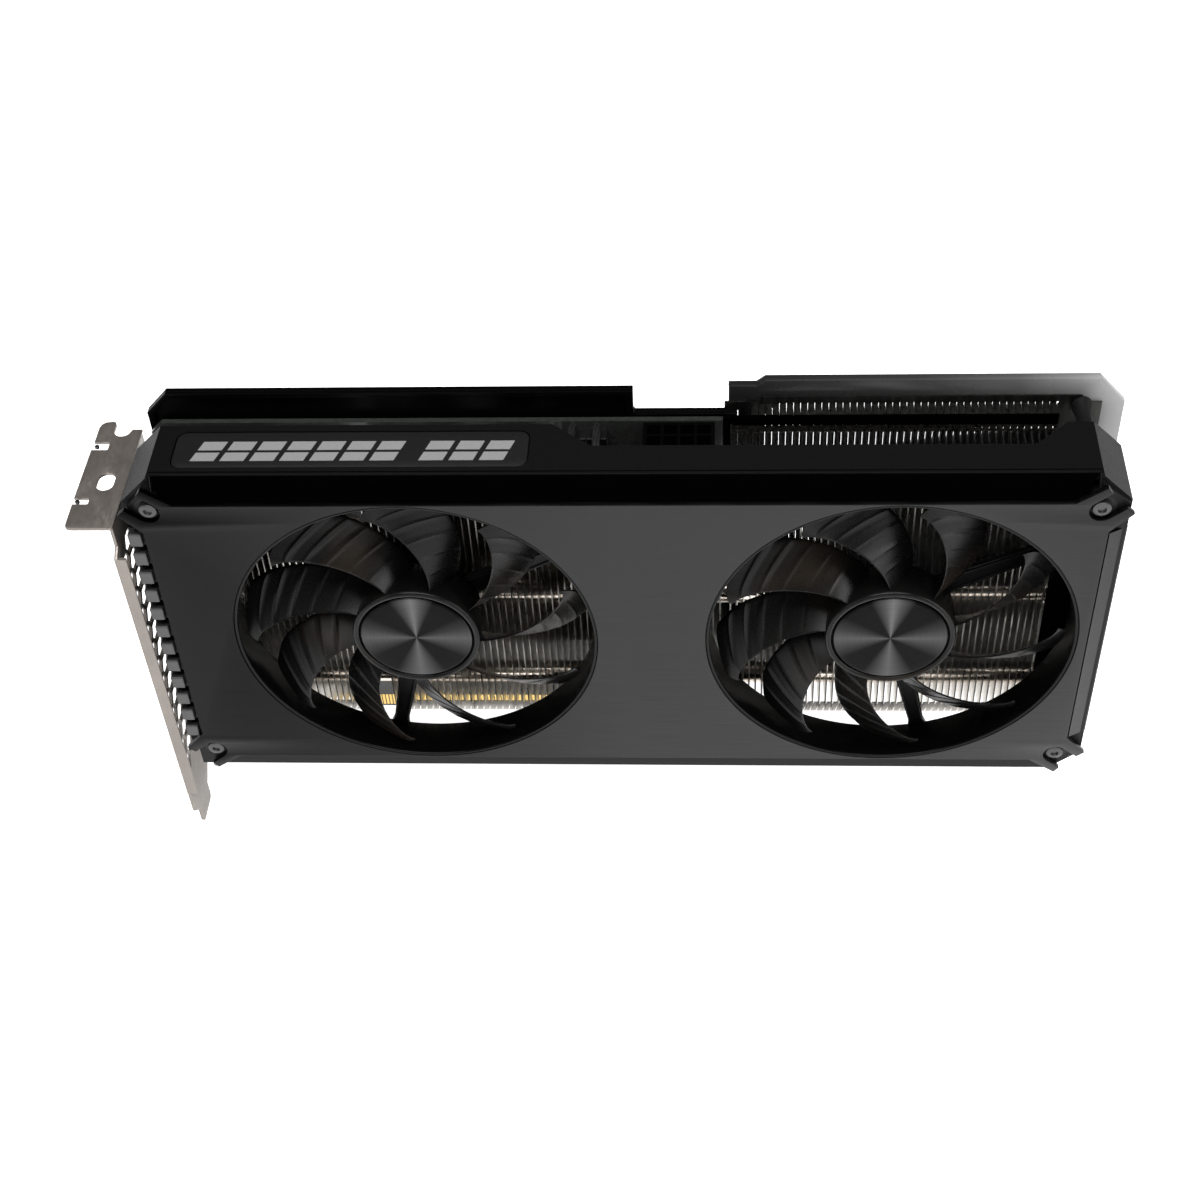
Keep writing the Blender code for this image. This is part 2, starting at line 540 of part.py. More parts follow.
for n, z in enumerate((38.0, 50.0, 62.0)):
    box("choke_%d" % (n + 1), (42.5, 50.5), (SEAT - 4.6, SEAT), (z - 4, z + 4), M_FERRITE, 0.5)
rod("capacitor", "Y", (47.0, 76.0), 4.0, SEAT - 7.6, SEAT, M_CAN, segs=16, bevel=0.4)

power = box("power_connector", (36.5, 54.5), (SEAT - 9.6, SEAT), (96.6, 109.4), M_BLACK)
bm = bmesh.new()
for i in range(4):
    for j in range(2):
        geo = bmesh.ops.create_cube(bm, size=1.0)
        cx, cy = 39.2 + i * 4.2, SEAT - 2.7 - j * 4.2
        for v in geo["verts"]:
            v.co = Vector((v.co.x * 3.4 + cx, v.co.y * 3.4 + cy, v.co.z * 12 + 106)) * MM
cut(power, finish(bm, "cut_power_cells", cutter=True))

PORT_Y = (-6.7, SEAT)
PORTS = (("video_port_large", 24.0, 15.0), ("video_port_small_1", 46.0, 16.8), ("video_port_small_2", 68.0, 16.8), ("video_port_small_3", 89.0, 16.8))
for name, z, w in PORTS:
    port = box(name, (-95.8, -80.0), PORT_Y, (z - w / 2, z + w / 2), M_STEEL, 0.4)
    mouth = plate("cut_" + name, [rect((PORT_Y[0] + 0.6, PORT_Y[1] - 0.5), (z - w / 2 + 0.6, z + w / 2 - 0.6)),
                                  rect((PORT_Y[0] + 1.7, PORT_Y[0] + 2.9), (z - w / 2 + 1.8, z + w / 2 - 1.8))], "X", -97.0, -86.0, cutter=True)
    cut(port, mouth)

# ---- I/O bracket ------------------------------------------------------------
BX = (BRACKET_X - BRACKET_T, BRACKET_X)
Y0, Y1 = -35.8, 2.9
TIP = BRACKET_TOP - BRACKET_LEN
blade_loops = [[(Y0, -6.0), (-32.1, -10.0), (-32.1, TIP + 1.6), (-30.6, TIP), (-23.4, TIP), (-21.9, TIP + 1.6), (-21.9, -10.4), (-17.6, -6.2),
                (-16.2, -6.2), (-11.8, -10.4), (-11.8, TIP + 1.6), (-10.3, TIP), (-3.1, TIP), (-1.6, TIP + 1.6), (-1.6, -10.0), (Y1, -6.0),
                (Y1, BRACKET_TOP), (-33.0, BRACKET_TOP), (-33.0, 97.0), (Y0, 95.2)]]
for name, z, w in PORTS:
    blade_loops.append(rect((PORT_Y[0] - GAP, PORT_Y[1] + 0.25), (z - w / 2 - GAP, z + w / 2 + GAP)))
HEX_PITCH = 6.6
for col in range(3):
    for row in range(13):
        yc, zc = -31.0 + col * 5.7, 9.4 + row * HEX_PITCH + (HEX_PITCH / 2 if col % 2 else 0.0)
        blade_loops.append(circle(yc, zc, 3.1, 6, 0.0))
bracket = plate("io_bracket", blade_loops, "X", *BX, M_NICKEL)
# folded tab with the screw notch, the slotted hole and the two locating slots
tab = [(-93.95, -33.4), (-104.4, -33.4), (-106.0, -31.9), (-106.0, -24.6), (-102.0, -24.6), (-102.0, -22.4), (-106.0, -22.4),
       (-105.8, -4.2), (-101.5, -4.2), (-101.5, -1.2), (-105.6, -1.2), (-105.6, 4.4), (-104.2, 6.7), (-101.6, 6.9), (-101.3, 3.6)]
for i in range(1, 6):
    a = math.pi + math.pi * 0.86 * i / 6
    tab.append((-99.1 + 2.21 * math.cos(a), 3.3 + 2.21 * math.sin(a)))
tab += [(-96.6, 3.8), (-93.95, 3.8)]
obround = [(-99.2 + 2.2 * math.cos(math.radians(a)), -16.3 + (1.05 if a < 180 else -1.05) + 2.2 * math.sin(math.radians(a)))
           for a in (0, 36, 72, 108, 144, 180 - 0.01, 180, 216, 252, 288, 324, 360)]
fuse(bracket, plate("bracket_tab", [tab, obround], "Z", BRACKET_TOP - BRACKET_T, BRACKET_TOP, cutter=True),
     box("bracket_flange", (BX[0] + 0.05, -91.8), (Y0, Y0 + BRACKET_T), (1.9, 95.0), cutter=True))
for n, z in enumerate((14.0, 100.0)):
    rod("bracket_screw_%d" % (n + 1), "X", (-10.5, z), 2.6, -96.3, BX[0] - GAP, M_STEEL, segs=12, bevel=0.5)

# ---- backplate ---------------------------------------------------------------
BP_Y = (H + 0.35, 3.7)
rim_z = 117.6
bp = plate("backplate", [[(-90.0, 12.0), (60.2, 12.0), (60.2, 110.0), (57.5, 110.2), (34.5, 110.2), (34.0, 110.8), (34.0, rim_z), (-84.8, rim_z),
                          (-90.6, 111.4)]], "Y", 2.2, BP_Y[1], M_BLACK)
fuse(bp, plate("backplate_rim", [[(-90.0, 12.0), (60.2, 12.0), (60.2, 110.0), (57.5, 110.2), (34.5, 110.2), (34.0, 110.8), (34.0, rim_z), (-84.8, rim_z),
                                  (-90.6, 111.4)],
                                 [(-88.4, 13.6), (58.6, 13.6), (58.6, 108.4), (33.2, 108.4), (32.4, 109.4), (32.4, rim_z - 1.5), (-84.1, rim_z - 1.5),
                                  (-89.0, 110.9)]], "Y", BP_Y[0], 2.4, cutter=True))
frame_out = [(60.8, 12.0), (149.0, 12.0), (156.4, 19.6), (156.4, 111.8), (149.6, 119.4), (67.0, 119.4), (64.8, rim_z), (57.9, rim_z), (57.9, 110.8), (60.8, 110.6)]
frame_in = [(66.6, 22.0), (144.0, 22.0), (147.4, 25.4), (147.4, 109.6), (143.0, 114.0), (72.4, 114.0), (66.6, 107.4)]
bpf = plate("backplate_frame", [frame_out, frame_in], "Y", 3.0, 5.4, M_GLOSS)
post = rod("standoff_post", "Y", (145.6, 111.4), 2.0, BODY_BACK + GAP, 3.0 - GAP, M_BLACK, segs=14)
plate("retention_spring", [[(-16, 33), (-8, 33), (9.5, 50), (27, 33), (35, 33), (35, 41), (17.5, 59), (35, 77), (35, 85), (27, 85), (9.5, 67.5), (-8, 85),
                            (-16, 85), (-16, 77), (1.5, 59), (-16, 41)]], "Y", BP_Y[1] + GAP, BP_Y[1] + GAP + 0.8, M_STEEL)
for n, (x, z) in enumerate(((-84.0, 18.0), (-84.0, 104.0))):
    turned("backplate_screw_%d" % (n + 1), [(0, BP_Y[1] + GAP), (2.6, BP_Y[1] + GAP), (2.6, BP_Y[1] + 1.0), (1.8, BP_Y[1] + 1.6), (0, BP_Y[1] + 1.6)],
           (x, z), M_BLACK, steps=14)
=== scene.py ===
"""Looks of the graphics card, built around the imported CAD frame.

Builders work in millimetres in the row frame; every mesh is written in metres
with its object at the origin.
"""
import math

import bmesh
import bpy
from mathutils import Matrix, Vector


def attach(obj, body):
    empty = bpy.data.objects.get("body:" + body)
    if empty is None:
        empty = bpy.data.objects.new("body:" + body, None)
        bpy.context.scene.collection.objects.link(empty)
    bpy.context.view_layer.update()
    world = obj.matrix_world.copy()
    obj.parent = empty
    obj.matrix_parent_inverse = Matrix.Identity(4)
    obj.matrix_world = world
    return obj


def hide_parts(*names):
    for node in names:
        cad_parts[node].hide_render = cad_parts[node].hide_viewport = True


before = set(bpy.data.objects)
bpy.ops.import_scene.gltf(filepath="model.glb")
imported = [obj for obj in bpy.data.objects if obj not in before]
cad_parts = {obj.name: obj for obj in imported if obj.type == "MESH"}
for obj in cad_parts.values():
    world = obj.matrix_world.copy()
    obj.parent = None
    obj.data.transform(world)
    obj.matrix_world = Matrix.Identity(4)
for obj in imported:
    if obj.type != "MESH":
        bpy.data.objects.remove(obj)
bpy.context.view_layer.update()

MM = 0.001

# ---- main sizes, the same as the CAD's (millimetres) -----------------------
FACE_Y, FACE_T = -35.0, 1.5
FACE_X, FACE_Z = (-85.7, 148.3), (18.0, 112.4)
BODY_X, BODY_Z, BODY_BACK = (-90.4, 153.3), (11.7, 118.7), -12.4
CORNER, WALL, GAP = 7.6, 2.0, 0.3
FAN_X, FAN_Z = (-22.4, 99.1), 65.2
OPEN_R, BLADE_R, HUB_R, BLADES = 47.0, 44.6, 16.6, 9
BLADE_TURN = (-3.0, -22.0)
FIN_FRONT, FIN_Z, FIN_PITCH = -17.5, (17.7, 109.2), 1.78
PIPE_R, PIPE_Y, PIPE_Z = 3.0, -9.6, (25.2, 57.2)
BRACKET_X, BRACKET_T, BRACKET_TOP, BRACKET_LEN = -93.9, 0.86, 103.7, 120.02
H = 0.785
SEAT = -H - GAP
RIM_Z = 117.6
FAN_ARMS, POST_R, BASE_Y = ((27.0, 147.0, 257.0), (27.0, 147.0, 283.0)), 50.2, (-22.2, -20.4)


# ---- materials --------------------------------------------------------------
def shader(name, colour, rough, metal=0.0, spec=0.5, coat=0.0, coat_rough=0.1, aniso=0.0):
    m = bpy.data.materials.new(name)
    m.use_nodes = True
    nt = m.node_tree
    b = next(n for n in nt.nodes if n.type == "BSDF_PRINCIPLED")
    b.inputs["Base Color"].default_value = (*colour, 1.0)
    b.inputs["Roughness"].default_value = rough
    b.inputs["Metallic"].default_value = metal
    b.inputs["Specular IOR Level"].default_value = spec
    b.inputs["Coat Weight"].default_value = coat
    b.inputs["Coat Roughness"].default_value = coat_rough
    b.inputs["Anisotropic"].default_value = aniso
    return m, nt, b


def noise(nt, stretch, scale=1.0, detail=3.0, rough=0.55):
    tc = nt.nodes.new("ShaderNodeTexCoord")
    mp = nt.nodes.new("ShaderNodeMapping")
    mp.inputs["Scale"].default_value = stretch
    nz = nt.nodes.new("ShaderNodeTexNoise")
    nz.inputs["Scale"].default_value = scale
    nz.inputs["Detail"].default_value = detail
    nz.inputs["Roughness"].default_value = rough
    nt.links.new(tc.outputs["Object"], mp.inputs["Vector"])
    nt.links.new(mp.outputs["Vector"], nz.inputs["Vector"])
    return nz.outputs["Fac"]


def spread(nt, value, lo, hi, a=0.3, b=0.7):
    mr = nt.nodes.new("ShaderNodeMapRange")
    mr.inputs["From Min"].default_value = a
    mr.inputs["From Max"].default_value = b
    mr.inputs["To Min"].default_value = lo
    mr.inputs["To Max"].default_value = hi
    nt.links.new(value, mr.inputs["Value"])
    return mr.outputs["Result"]


def ramp(nt, value, stops):
    r = nt.nodes.new("ShaderNodeValToRGB")
    e = r.color_ramp.elements
    while len(e) < len(stops):
        e.new(0.5)
    for el, (p, c) in zip(e, stops):
        el.position = p
        el.color = (*c, 1.0)
    nt.links.new(value, r.inputs["Fac"])
    return r.outputs["Color"]


def bump(nt, b, value, strength, dist):
    bp = nt.nodes.new("ShaderNodeBump")
    bp.inputs["Strength"].default_value = strength
    bp.inputs["Distance"].default_value = dist
    nt.links.new(value, bp.inputs["Height"])
    nt.links.new(bp.outputs["Normal"], b.inputs["Normal"])


def axis_value(nt, axis, lo, hi):
    """0 to 1 along a row axis between two places in millimetres."""
    tc = nt.nodes.new("ShaderNodeTexCoord")
    sp = nt.nodes.new("ShaderNodeSeparateXYZ")
    nt.links.new(tc.outputs["Object"], sp.inputs["Vector"])
    return spread(nt, sp.outputs[axis], 0.0, 1.0, lo * MM, hi * MM)


def mix(nt, fac, a, b, how="MIX"):
    mx = nt.nodes.new("ShaderNodeMix")
    mx.data_type = "RGBA"
    mx.blend_type = how
    for socket, v in ((mx.inputs[0], fac), (mx.inputs[6], a), (mx.inputs[7], b)):
        if isinstance(v, bpy.types.NodeSocket):
            nt.links.new(v, socket)
        elif isinstance(v, (int, float)):
            socket.default_value = v
        else:
            socket.default_value = (*v, 1.0)
    return mx.outputs[2]


def grained(name, colour, rough, metal=0.0, spec=0.5, coat=0.0, vary=0.25, size=0.5, stretch=(1, 1, 1), relief=0.15,
            rough_vary=0.08, blotch=0.0, coat_rough=0.1, painted_shade_by_height=None):
    """Fine grain of a size in mm, with colour and roughness variation and, if asked, broad soft blotches."""
    m, nt, b = shader(name, colour, rough, metal, spec, coat, coat_rough)
    f = 1000.0 / size
    fine = noise(nt, tuple(f * s for s in stretch))
    lo = tuple(c * (1 - vary) for c in colour)
    hi = tuple(min(1.0, c * (1 + vary)) for c in colour)
    col = ramp(nt, fine, [(0.3, lo), (0.7, hi)])
    if blotch:
        broad = noise(nt, (90, 90, 90), 1.0, 4.0, 0.6)
        col = mix(nt, 1.0, col, ramp(nt, broad, [(0.35, (1 - blotch,) * 3), (0.65, (1.0,) * 3)]), "MULTIPLY")
    if painted_shade_by_height:                                        # painted shade: darker with height, standing in for the shade over the upper fins
        col = mix(nt, 1.0, col, ramp(nt, axis_value(nt, "Z", 17, 113), [(q, (g, g, g)) for q, g in painted_shade_by_height]), "MULTIPLY")
    nt.links.new(col, b.inputs["Base Color"])
    nt.links.new(spread(nt, fine, max(0.02, rough - rough_vary), rough + rough_vary), b.inputs["Roughness"])
    if relief:
        bump(nt, b, fine, relief, 0.00005)
    return m


def face_material():
    m, nt, b = shader("face_brushed", (0.03, 0.03, 0.03), 0.40, 1.0, 0.2)
    lines = noise(nt, (60, 600, 2600), 1.0, 2.0, 0.5)
    long = noise(nt, (4, 60, 700), 1.0, 2.0, 0.5)
    # painted light: the base is darker to the left and towards the top, standing in for light falling off across the
    # face
    along = axis_value(nt, "X", -90, 150)
    base = ramp(nt, along, [(0.0, (0.0045, 0.0045, 0.0047)), (0.22, (0.0140, 0.0140, 0.0142)), (0.5, (0.0300, 0.0300, 0.0303)), (1.0, (0.0340, 0.0340, 0.0344))])
    base = mix(nt, 1.0, base, ramp(nt, axis_value(nt, "Z", 12, 118), [(0.0, (1.0, 1.0, 1.0)), (0.5, (0.78, 0.78, 0.78)), (1.0, (0.52, 0.52, 0.52))]), "MULTIPLY")
    base = mix(nt, 1.0, base, (1.12, 1.12, 1.12), "MULTIPLY")
    col = mix(nt, 1.0, base, ramp(nt, lines, [(0.25, (0.86, 0.86, 0.86)), (0.75, (1.14, 1.14, 1.14))]), "MULTIPLY")
    col = mix(nt, 1.0, col, ramp(nt, long, [(0.3, (0.985, 0.985, 0.985)), (0.7, (1.01, 1.01, 1.01))]), "MULTIPLY")
    nt.links.new(col, b.inputs["Base Color"])
    nt.links.new(spread(nt, lines, 0.33, 0.50), b.inputs["Roughness"])
    bump(nt, b, lines, 0.22, 0.00004)
    return m


def disc_material(name):
    """Lathe-turned metal: fine rings about the hub's axis, with the streaks such rings give."""
    m, nt, b = shader(name, (0.10, 0.10, 0.10), 0.30, 0.95, 0.4, aniso=0.9)
    tg = nt.nodes.new("ShaderNodeTangent")
    tg.direction_type = "RADIAL"
    tg.axis = "Y"
    nt.links.new(tg.outputs["Tangent"], b.inputs["Tangent"])
    return m, nt, b


M = {}
M["face"] = face_material()
M["black"] = grained("plastic_black", (0.0045, 0.0045, 0.0048), 0.48, size=0.35, relief=0.06, spec=0.20, blotch=0.10)
M["rail"] = grained("plastic_rail", (0.0036, 0.0036, 0.0039), 0.44, size=0.35, relief=0.05, spec=0.12)
M["duct"] = grained("plastic_duct", (0.0010, 0.0010, 0.0011), 0.24, size=0.25, relief=0.0, spec=0.10, vary=0.1, rough_vary=0.02)
M["teeth"] = grained("plastic_teeth", (0.030, 0.030, 0.030), 0.42, size=0.4, relief=0.08, spec=0.6)
M["gloss"] = grained("plastic_gloss", (0.0005, 0.0005, 0.0005), 0.08, size=9.0, relief=0.0, rough_vary=0.02, spec=0.0, vary=0.1)
M["plate"] = grained("name_plate", (0.0085, 0.0085, 0.009), 0.42, size=0.3, relief=0.06, spec=0.22)
M["print"] = grained("pale_print", (0.215, 0.215, 0.215), 0.42, size=0.25, relief=0.05, vary=0.12)
# fin aluminium with painted shade that darkens up the stack
M["fin"] = grained("fin_aluminium", (0.80, 0.765, 0.71), 0.32, 1.0, size=1.2, stretch=(1, 1, 0.12), relief=0.06, vary=0.10, blotch=0.12, painted_shade_by_height=[(0.0, 0.9), (0.28, 1.0), (0.42, 0.55), (0.75, 0.36), (0.92, 0.14), (1.0, 0.08)])
# painted shade: a darker copy of the fin aluminium for the tabs along the top edge
M["chev"] = grained("fin_tabs", (0.30, 0.285, 0.26), 0.35, 1.0, size=1.0, relief=0.05, vary=0.15, blotch=0.3)
M["finback"] = grained("fin_shadowed", (0.055, 0.054, 0.052), 0.42, 1.0, size=1.2, stretch=(1, 1, 0.12), relief=0.06, vary=0.12, blotch=0.3)
M["beige"] = grained("pad_beige", (0.42, 0.36, 0.29), 0.60, size=0.5, relief=0.10, vary=0.12)
M["pipe"] = grained("pipe_plating", (0.78, 0.70, 0.62), 0.20, 1.0, size=1.5, stretch=(0.1, 1, 1), relief=0.08, vary=0.10, blotch=0.2)
M["steel"] = grained("plain_steel", (0.36, 0.355, 0.345), 0.36, 1.0, size=0.4, relief=0.08, blotch=0.15)
M["blackscrew"] = grained("black_zinc", (0.060, 0.060, 0.061), 0.32, 0.8, size=0.3, relief=0.08)
M["nickel"] = grained("bracket_nickel", (0.235, 0.210, 0.190), 0.40, 0.65, size=0.45, stretch=(1, 0.25, 1), relief=0.06, vary=0.05, blotch=0.12)
M["board"] = grained("board_mask", (0.018, 0.020, 0.018), 0.42, size=0.9, relief=0.12, spec=0.5, coat=0.3)
M["laminate"] = grained("board_edge", (0.030, 0.028, 0.018), 0.62, size=0.25, stretch=(0.1, 1, 1), relief=0.15, vary=0.35)
M["gold"] = grained("contact_gold", (0.86, 0.60, 0.20), 0.22, 1.0, size=0.6, relief=0.05, vary=0.08)
M["label"] = grained("pale_label", (0.62, 0.62, 0.60), 0.55, size=0.5, relief=0.05, vary=0.08)
M["chip"] = grained("moulded_resin", (0.020, 0.020, 0.021), 0.55, size=0.22, relief=0.15)
M["die"] = grained("polished_die", (0.10, 0.11, 0.13), 0.12, 0.6, size=2.0, relief=0.02, spec=0.7)
M["ferrite"] = grained("pressed_ferrite", (0.060, 0.060, 0.064), 0.65, size=0.3, relief=0.25, blotch=0.2)
M["can"] = grained("can_aluminium", (0.62, 0.62, 0.62), 0.28, 1.0, size=0.5, relief=0.06)
M["copper"] = grained("enamelled_copper", (0.62, 0.27, 0.11), 0.30, 1.0, size=0.5, stretch=(1, 1, 4), relief=0.25)
M["brass"] = grained("sintered_bronze", (0.62, 0.45, 0.20), 0.40, 1.0, size=0.3, relief=0.20)
M["magnet"] = grained("ferrite_ring", (0.050, 0.050, 0.055), 0.60, 0.3, size=0.35, relief=0.20)
M["lead"] = grained("lead_sleeve", (0.012, 0.012, 0.012), 0.45, size=0.5, stretch=(1, 1, 3), relief=0.15)
M["red"] = grained("lead_red", (0.20, 0.012, 0.010), 0.42, size=0.5, relief=0.10)
M["yellow"] = grained("lead_yellow", (0.45, 0.30, 0.02), 0.42, size=0.5, relief=0.10)
M["blue"] = grained("lead_blue", (0.02, 0.05, 0.25), 0.42, size=0.5, relief=0.10)
M["sheet"] = grained("black_sheet", (0.0008, 0.0008, 0.0009), 0.36, 0.0, size=0.30, relief=0.05, spec=0.05)


def blade_material():
    m, nt, b = shader("fan_plastic", (0.012, 0.0115, 0.011), 0.30, 0.0, 0.13)
    broad = noise(nt, (42, 42, 42), 1.0, 2.0, 0.5)
    fine = noise(nt, (2200, 2200, 2200), 1.0, 2.0, 0.5)
    # partly painted reflection: a dark tone that varies at random, with brownish patches standing in for reflections of
    # a warm surround
    col = ramp(nt, broad, [(0.40, (0.0022, 0.0022, 0.0022)), (0.56, (0.0042, 0.0040, 0.0038)), (0.70, (0.0140, 0.0105, 0.0075))])
    nt.links.new(col, b.inputs["Base Color"])
    nt.links.new(spread(nt, fine, 0.26, 0.33), b.inputs["Roughness"])
    bump(nt, b, fine, 0.03, 0.00002)
    return m


def smoke_material():
    """Glossy rear frame: near black by the board, fading to pale grey at the free end."""
    m, nt, b = shader("smoky_gloss", (0.02, 0.02, 0.02), 0.28, 0.0, 0.30)
    along = axis_value(nt, "X", 62, 156)
    cloud = noise(nt, (60, 60, 60), 1.0, 2.0, 0.5)
    col = ramp(nt, along, [(0.0, (0.012, 0.012, 0.012)), (0.45, (0.028, 0.028, 0.029)), (0.72, (0.075, 0.075, 0.075)), (0.88, (0.19, 0.19, 0.19)), (1.0, (0.38, 0.38, 0.38))])
    col = mix(nt, 1.0, col, ramp(nt, cloud, [(0.30, (0.97, 0.97, 0.97)), (0.70, (1.0, 1.0, 1.0))]), "MULTIPLY")
    nt.links.new(col, b.inputs["Base Color"])
    nt.links.new(spread(nt, cloud, 0.26, 0.29), b.inputs["Roughness"])
    return m


M["blade"] = blade_material()
M["smoke"] = smoke_material()


# ---- mesh helpers ------------------------------------------------------------
def piece(bm, name, mat, body="card", slot=None, replaces=(), sharp=32, bevel=0.0, segs=2, flat=False):
    """Writes a bmesh in mm as a finished piece of the model."""
    bmesh.ops.recalc_face_normals(bm, faces=bm.faces)
    bmesh.ops.scale(bm, vec=(MM,) * 3, verts=bm.verts)
    me = bpy.data.meshes.new(name)
    bm.to_mesh(me)
    bm.free()
    return dress(me, name, mat, body, slot, replaces, sharp, bevel, segs, flat)


def dress(me, name, mat, body="card", slot=None, replaces=(), sharp=32, bevel=0.0, segs=2, flat=False):
    if not flat:
        me.shade_smooth()
        me.set_sharp_from_angle(angle=math.radians(sharp))
    ob = bpy.data.objects.new(name, me)
    bpy.context.scene.collection.objects.link(ob)
    me.materials.clear()
    for m in (mat if isinstance(mat, (list, tuple)) else [mat]):
        me.materials.append(M[m] if isinstance(m, str) else m)
    if bevel:
        mod = ob.modifiers.new("edge", "BEVEL")
        mod.width = bevel * MM
        mod.segments = segs
        mod.limit_method = "ANGLE"
        mod.angle_limit = math.radians(40)
        mod.harden_normals = True
    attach(ob, body)
    if replaces:
        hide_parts(*replaces)
    return ob


def add_box(bm, x, y, z, mat=0):
    v = [bm.verts.new((a, b, c)) for a in x for b in y for c in z]
    for q in ((0, 1, 3, 2), (4, 6, 7, 5), (0, 4, 5, 1), (2, 3, 7, 6), (0, 2, 6, 4), (1, 5, 7, 3)):
        f = bm.faces.new([v[i] for i in q])
        f.material_index = mat
    return v


def add_prism(bm, pts, axis, lo, hi, mat=0):
    """Outline extruded along an axis; pairs are (y,z), (x,z) or (x,y) for X, Y and Z."""
    def at(p, h):
        return {"X": (h, p[0], p[1]), "Y": (p[0], h, p[1]), "Z": (p[0], p[1], h)}[axis]
    a = [bm.verts.new(at(p, lo)) for p in pts]
    b = [bm.verts.new(at(p, hi)) for p in pts]
    faces = [bm.faces.new(a), bm.faces.new(b)]
    n = len(pts)
    faces += [bm.faces.new((a[i], a[(i + 1) % n], b[(i + 1) % n], b[i])) for i in range(n)]
    for f in faces:
        f.material_index = mat
    return faces


def add_turned(bm, profile, centre, steps, axis="Y", mat=0):
    """Profile of (radius, place along the axis) turned about the axis through centre."""
    rings = []
    for r, h in profile:
        ring = []
        for i in range(steps if r > 1e-6 else 1):
            a = 2 * math.pi * i / steps
            u, w = centre[0] + r * math.cos(a), centre[1] + r * math.sin(a)
            ring.append(bm.verts.new({"Y": (u, h, w), "X": (h, u, w), "Z": (u, w, h)}[axis]))
        rings.append(ring)
    closed = profile[0][0] > 1e-6 and profile[-1][0] > 1e-6
    pairs = list(zip(rings, rings[1:])) + ([(rings[-1], rings[0])] if closed else [])
    for p, q in pairs:
        for i in range(steps):
            j = (i + 1) % steps
            if len(p) == 1 and len(q) == 1:
                continue
            if len(p) == 1:
                f = bm.faces.new((p[0], q[i], q[j]))
            elif len(q) == 1:
                f = bm.faces.new((p[i], q[0], p[j]))
            else:
                f = bm.faces.new((p[i], q[i], q[j], p[j]))
            f.material_index = mat


def outline_mesh(name, loops, axis, lo, hi, edge=0.0):
    """Flat outline with holes, extruded, with rounded edges; returns a mesh in metres."""
    cu = bpy.data.curves.new(name, "CURVE")
    cu.dimensions = "2D"
    cu.fill_mode = "BOTH"
    cu.extrude = ((hi - lo) / 2 - edge) * MM
    cu.bevel_depth = edge * MM
    cu.bevel_resolution = 1
    cu.offset = -edge * MM
    for loop in loops:
        sp = cu.splines.new("POLY")
        sp.points.add(len(loop) - 1)
        for p, (u, v) in zip(sp.points, loop):
            p.co = (u * MM, v * MM, 0.0, 1.0)
        sp.use_cyclic_u = True
    ob = bpy.data.objects.new(name, cu)
    bpy.context.scene.collection.objects.link(ob)
    bpy.context.view_layer.update()
    me = bpy.data.meshes.new_from_object(ob.evaluated_get(bpy.context.evaluated_depsgraph_get()))
    bpy.data.objects.remove(ob, do_unlink=True)
    bpy.data.curves.remove(cu)
    mid = (lo + hi) / 2 * MM
    swap = {"X": Matrix(((0, 0, 1, 0), (1, 0, 0, 0), (0, 1, 0, 0), (0, 0, 0, 1))), "Y": Matrix.Rotation(math.radians(90), 4, "X"), "Z": Matrix.Identity(4)}[axis]
    pos = {"X": (mid, 0, 0), "Y": (0, mid, 0), "Z": (0, 0, mid)}[axis]
    me.transform(Matrix.Translation(pos) @ swap)
    bm = bmesh.new()
    bm.from_mesh(me)
    bmesh.ops.remove_doubles(bm, verts=bm.verts, dist=1e-6)
    bmesh.ops.recalc_face_normals(bm, faces=bm.faces)
    bm.to_mesh(me)
    bm.free()
    return me


def outline(name, loops, axis, lo, hi, mat, edge=0.2, **kw):
    return dress(outline_mesh(name, loops, axis, lo, hi, edge), name, mat, **kw)


def circle(cx, cy, r, n, start=0.0):
    return [(cx + r * math.cos(start + 2 * math.pi * i / n), cy + r * math.sin(start + 2 * math.pi * i / n)) for i in range(n)]


def rect(u, v):
    return [(u[0], v[0]), (u[1], v[0]), (u[1], v[1]), (u[0], v[1])]


def round_rect(u, v, r, n=6):
    out = []
    for cx, cy, a0 in ((u[1] - r, v[0] + r, -90), (u[1] - r, v[1] - r, 0), (u[0] + r, v[1] - r, 90), (u[0] + r, v[0] + r, 180)):
        for i in range(n + 1):
            a = math.radians(a0 + 90 * i / n)
            out.append((cx + r * math.cos(a), cy + r * math.sin(a)))
    return out


def octagon(x, z, c, inset=0.0):
    k = c - inset * (2 - math.sqrt(2))
    x0, x1, z0, z1 = x[0] + inset, x[1] - inset, z[0] + inset, z[1] - inset
    return [(x0 + k, z0), (x1 - k, z0), (x1, z0 + k), (x1, z1 - k), (x1 - k, z1), (x0 + k, z1), (x0, z1 - k), (x0, z0 + k)]


def combine(me, others, how="UNION"):
    """Exact boolean of meshes in metres, one after another."""
    base = bpy.data.objects.new("work", me)
    bpy.context.scene.collection.objects.link(base)
    tools = []
    for o in others:
        t = bpy.data.objects.new("tool", o)
        bpy.context.scene.collection.objects.link(t)
        tools.append(t)
        mod = base.modifiers.new("b", "BOOLEAN")
        mod.operation = how
        mod.object = t
        mod.solver = "EXACT"
    bpy.context.view_layer.update()
    out = bpy.data.meshes.new_from_object(base.evaluated_get(bpy.context.evaluated_depsgraph_get()))
    for o in (base, *tools):
        d = o.data
        bpy.data.objects.remove(o, do_unlink=True)
        bpy.data.meshes.remove(d)
    return out


def mesh_of(build):
    """Mesh in metres of what a builder adds to an empty bmesh in mm."""
    bm = bmesh.new()
    build(bm)
    bmesh.ops.recalc_face_normals(bm, faces=bm.faces)
    bmesh.ops.scale(bm, vec=(MM,) * 3, verts=bm.verts)
    me = bpy.data.meshes.new("m")
    bm.to_mesh(me)
    bm.free()
    return me


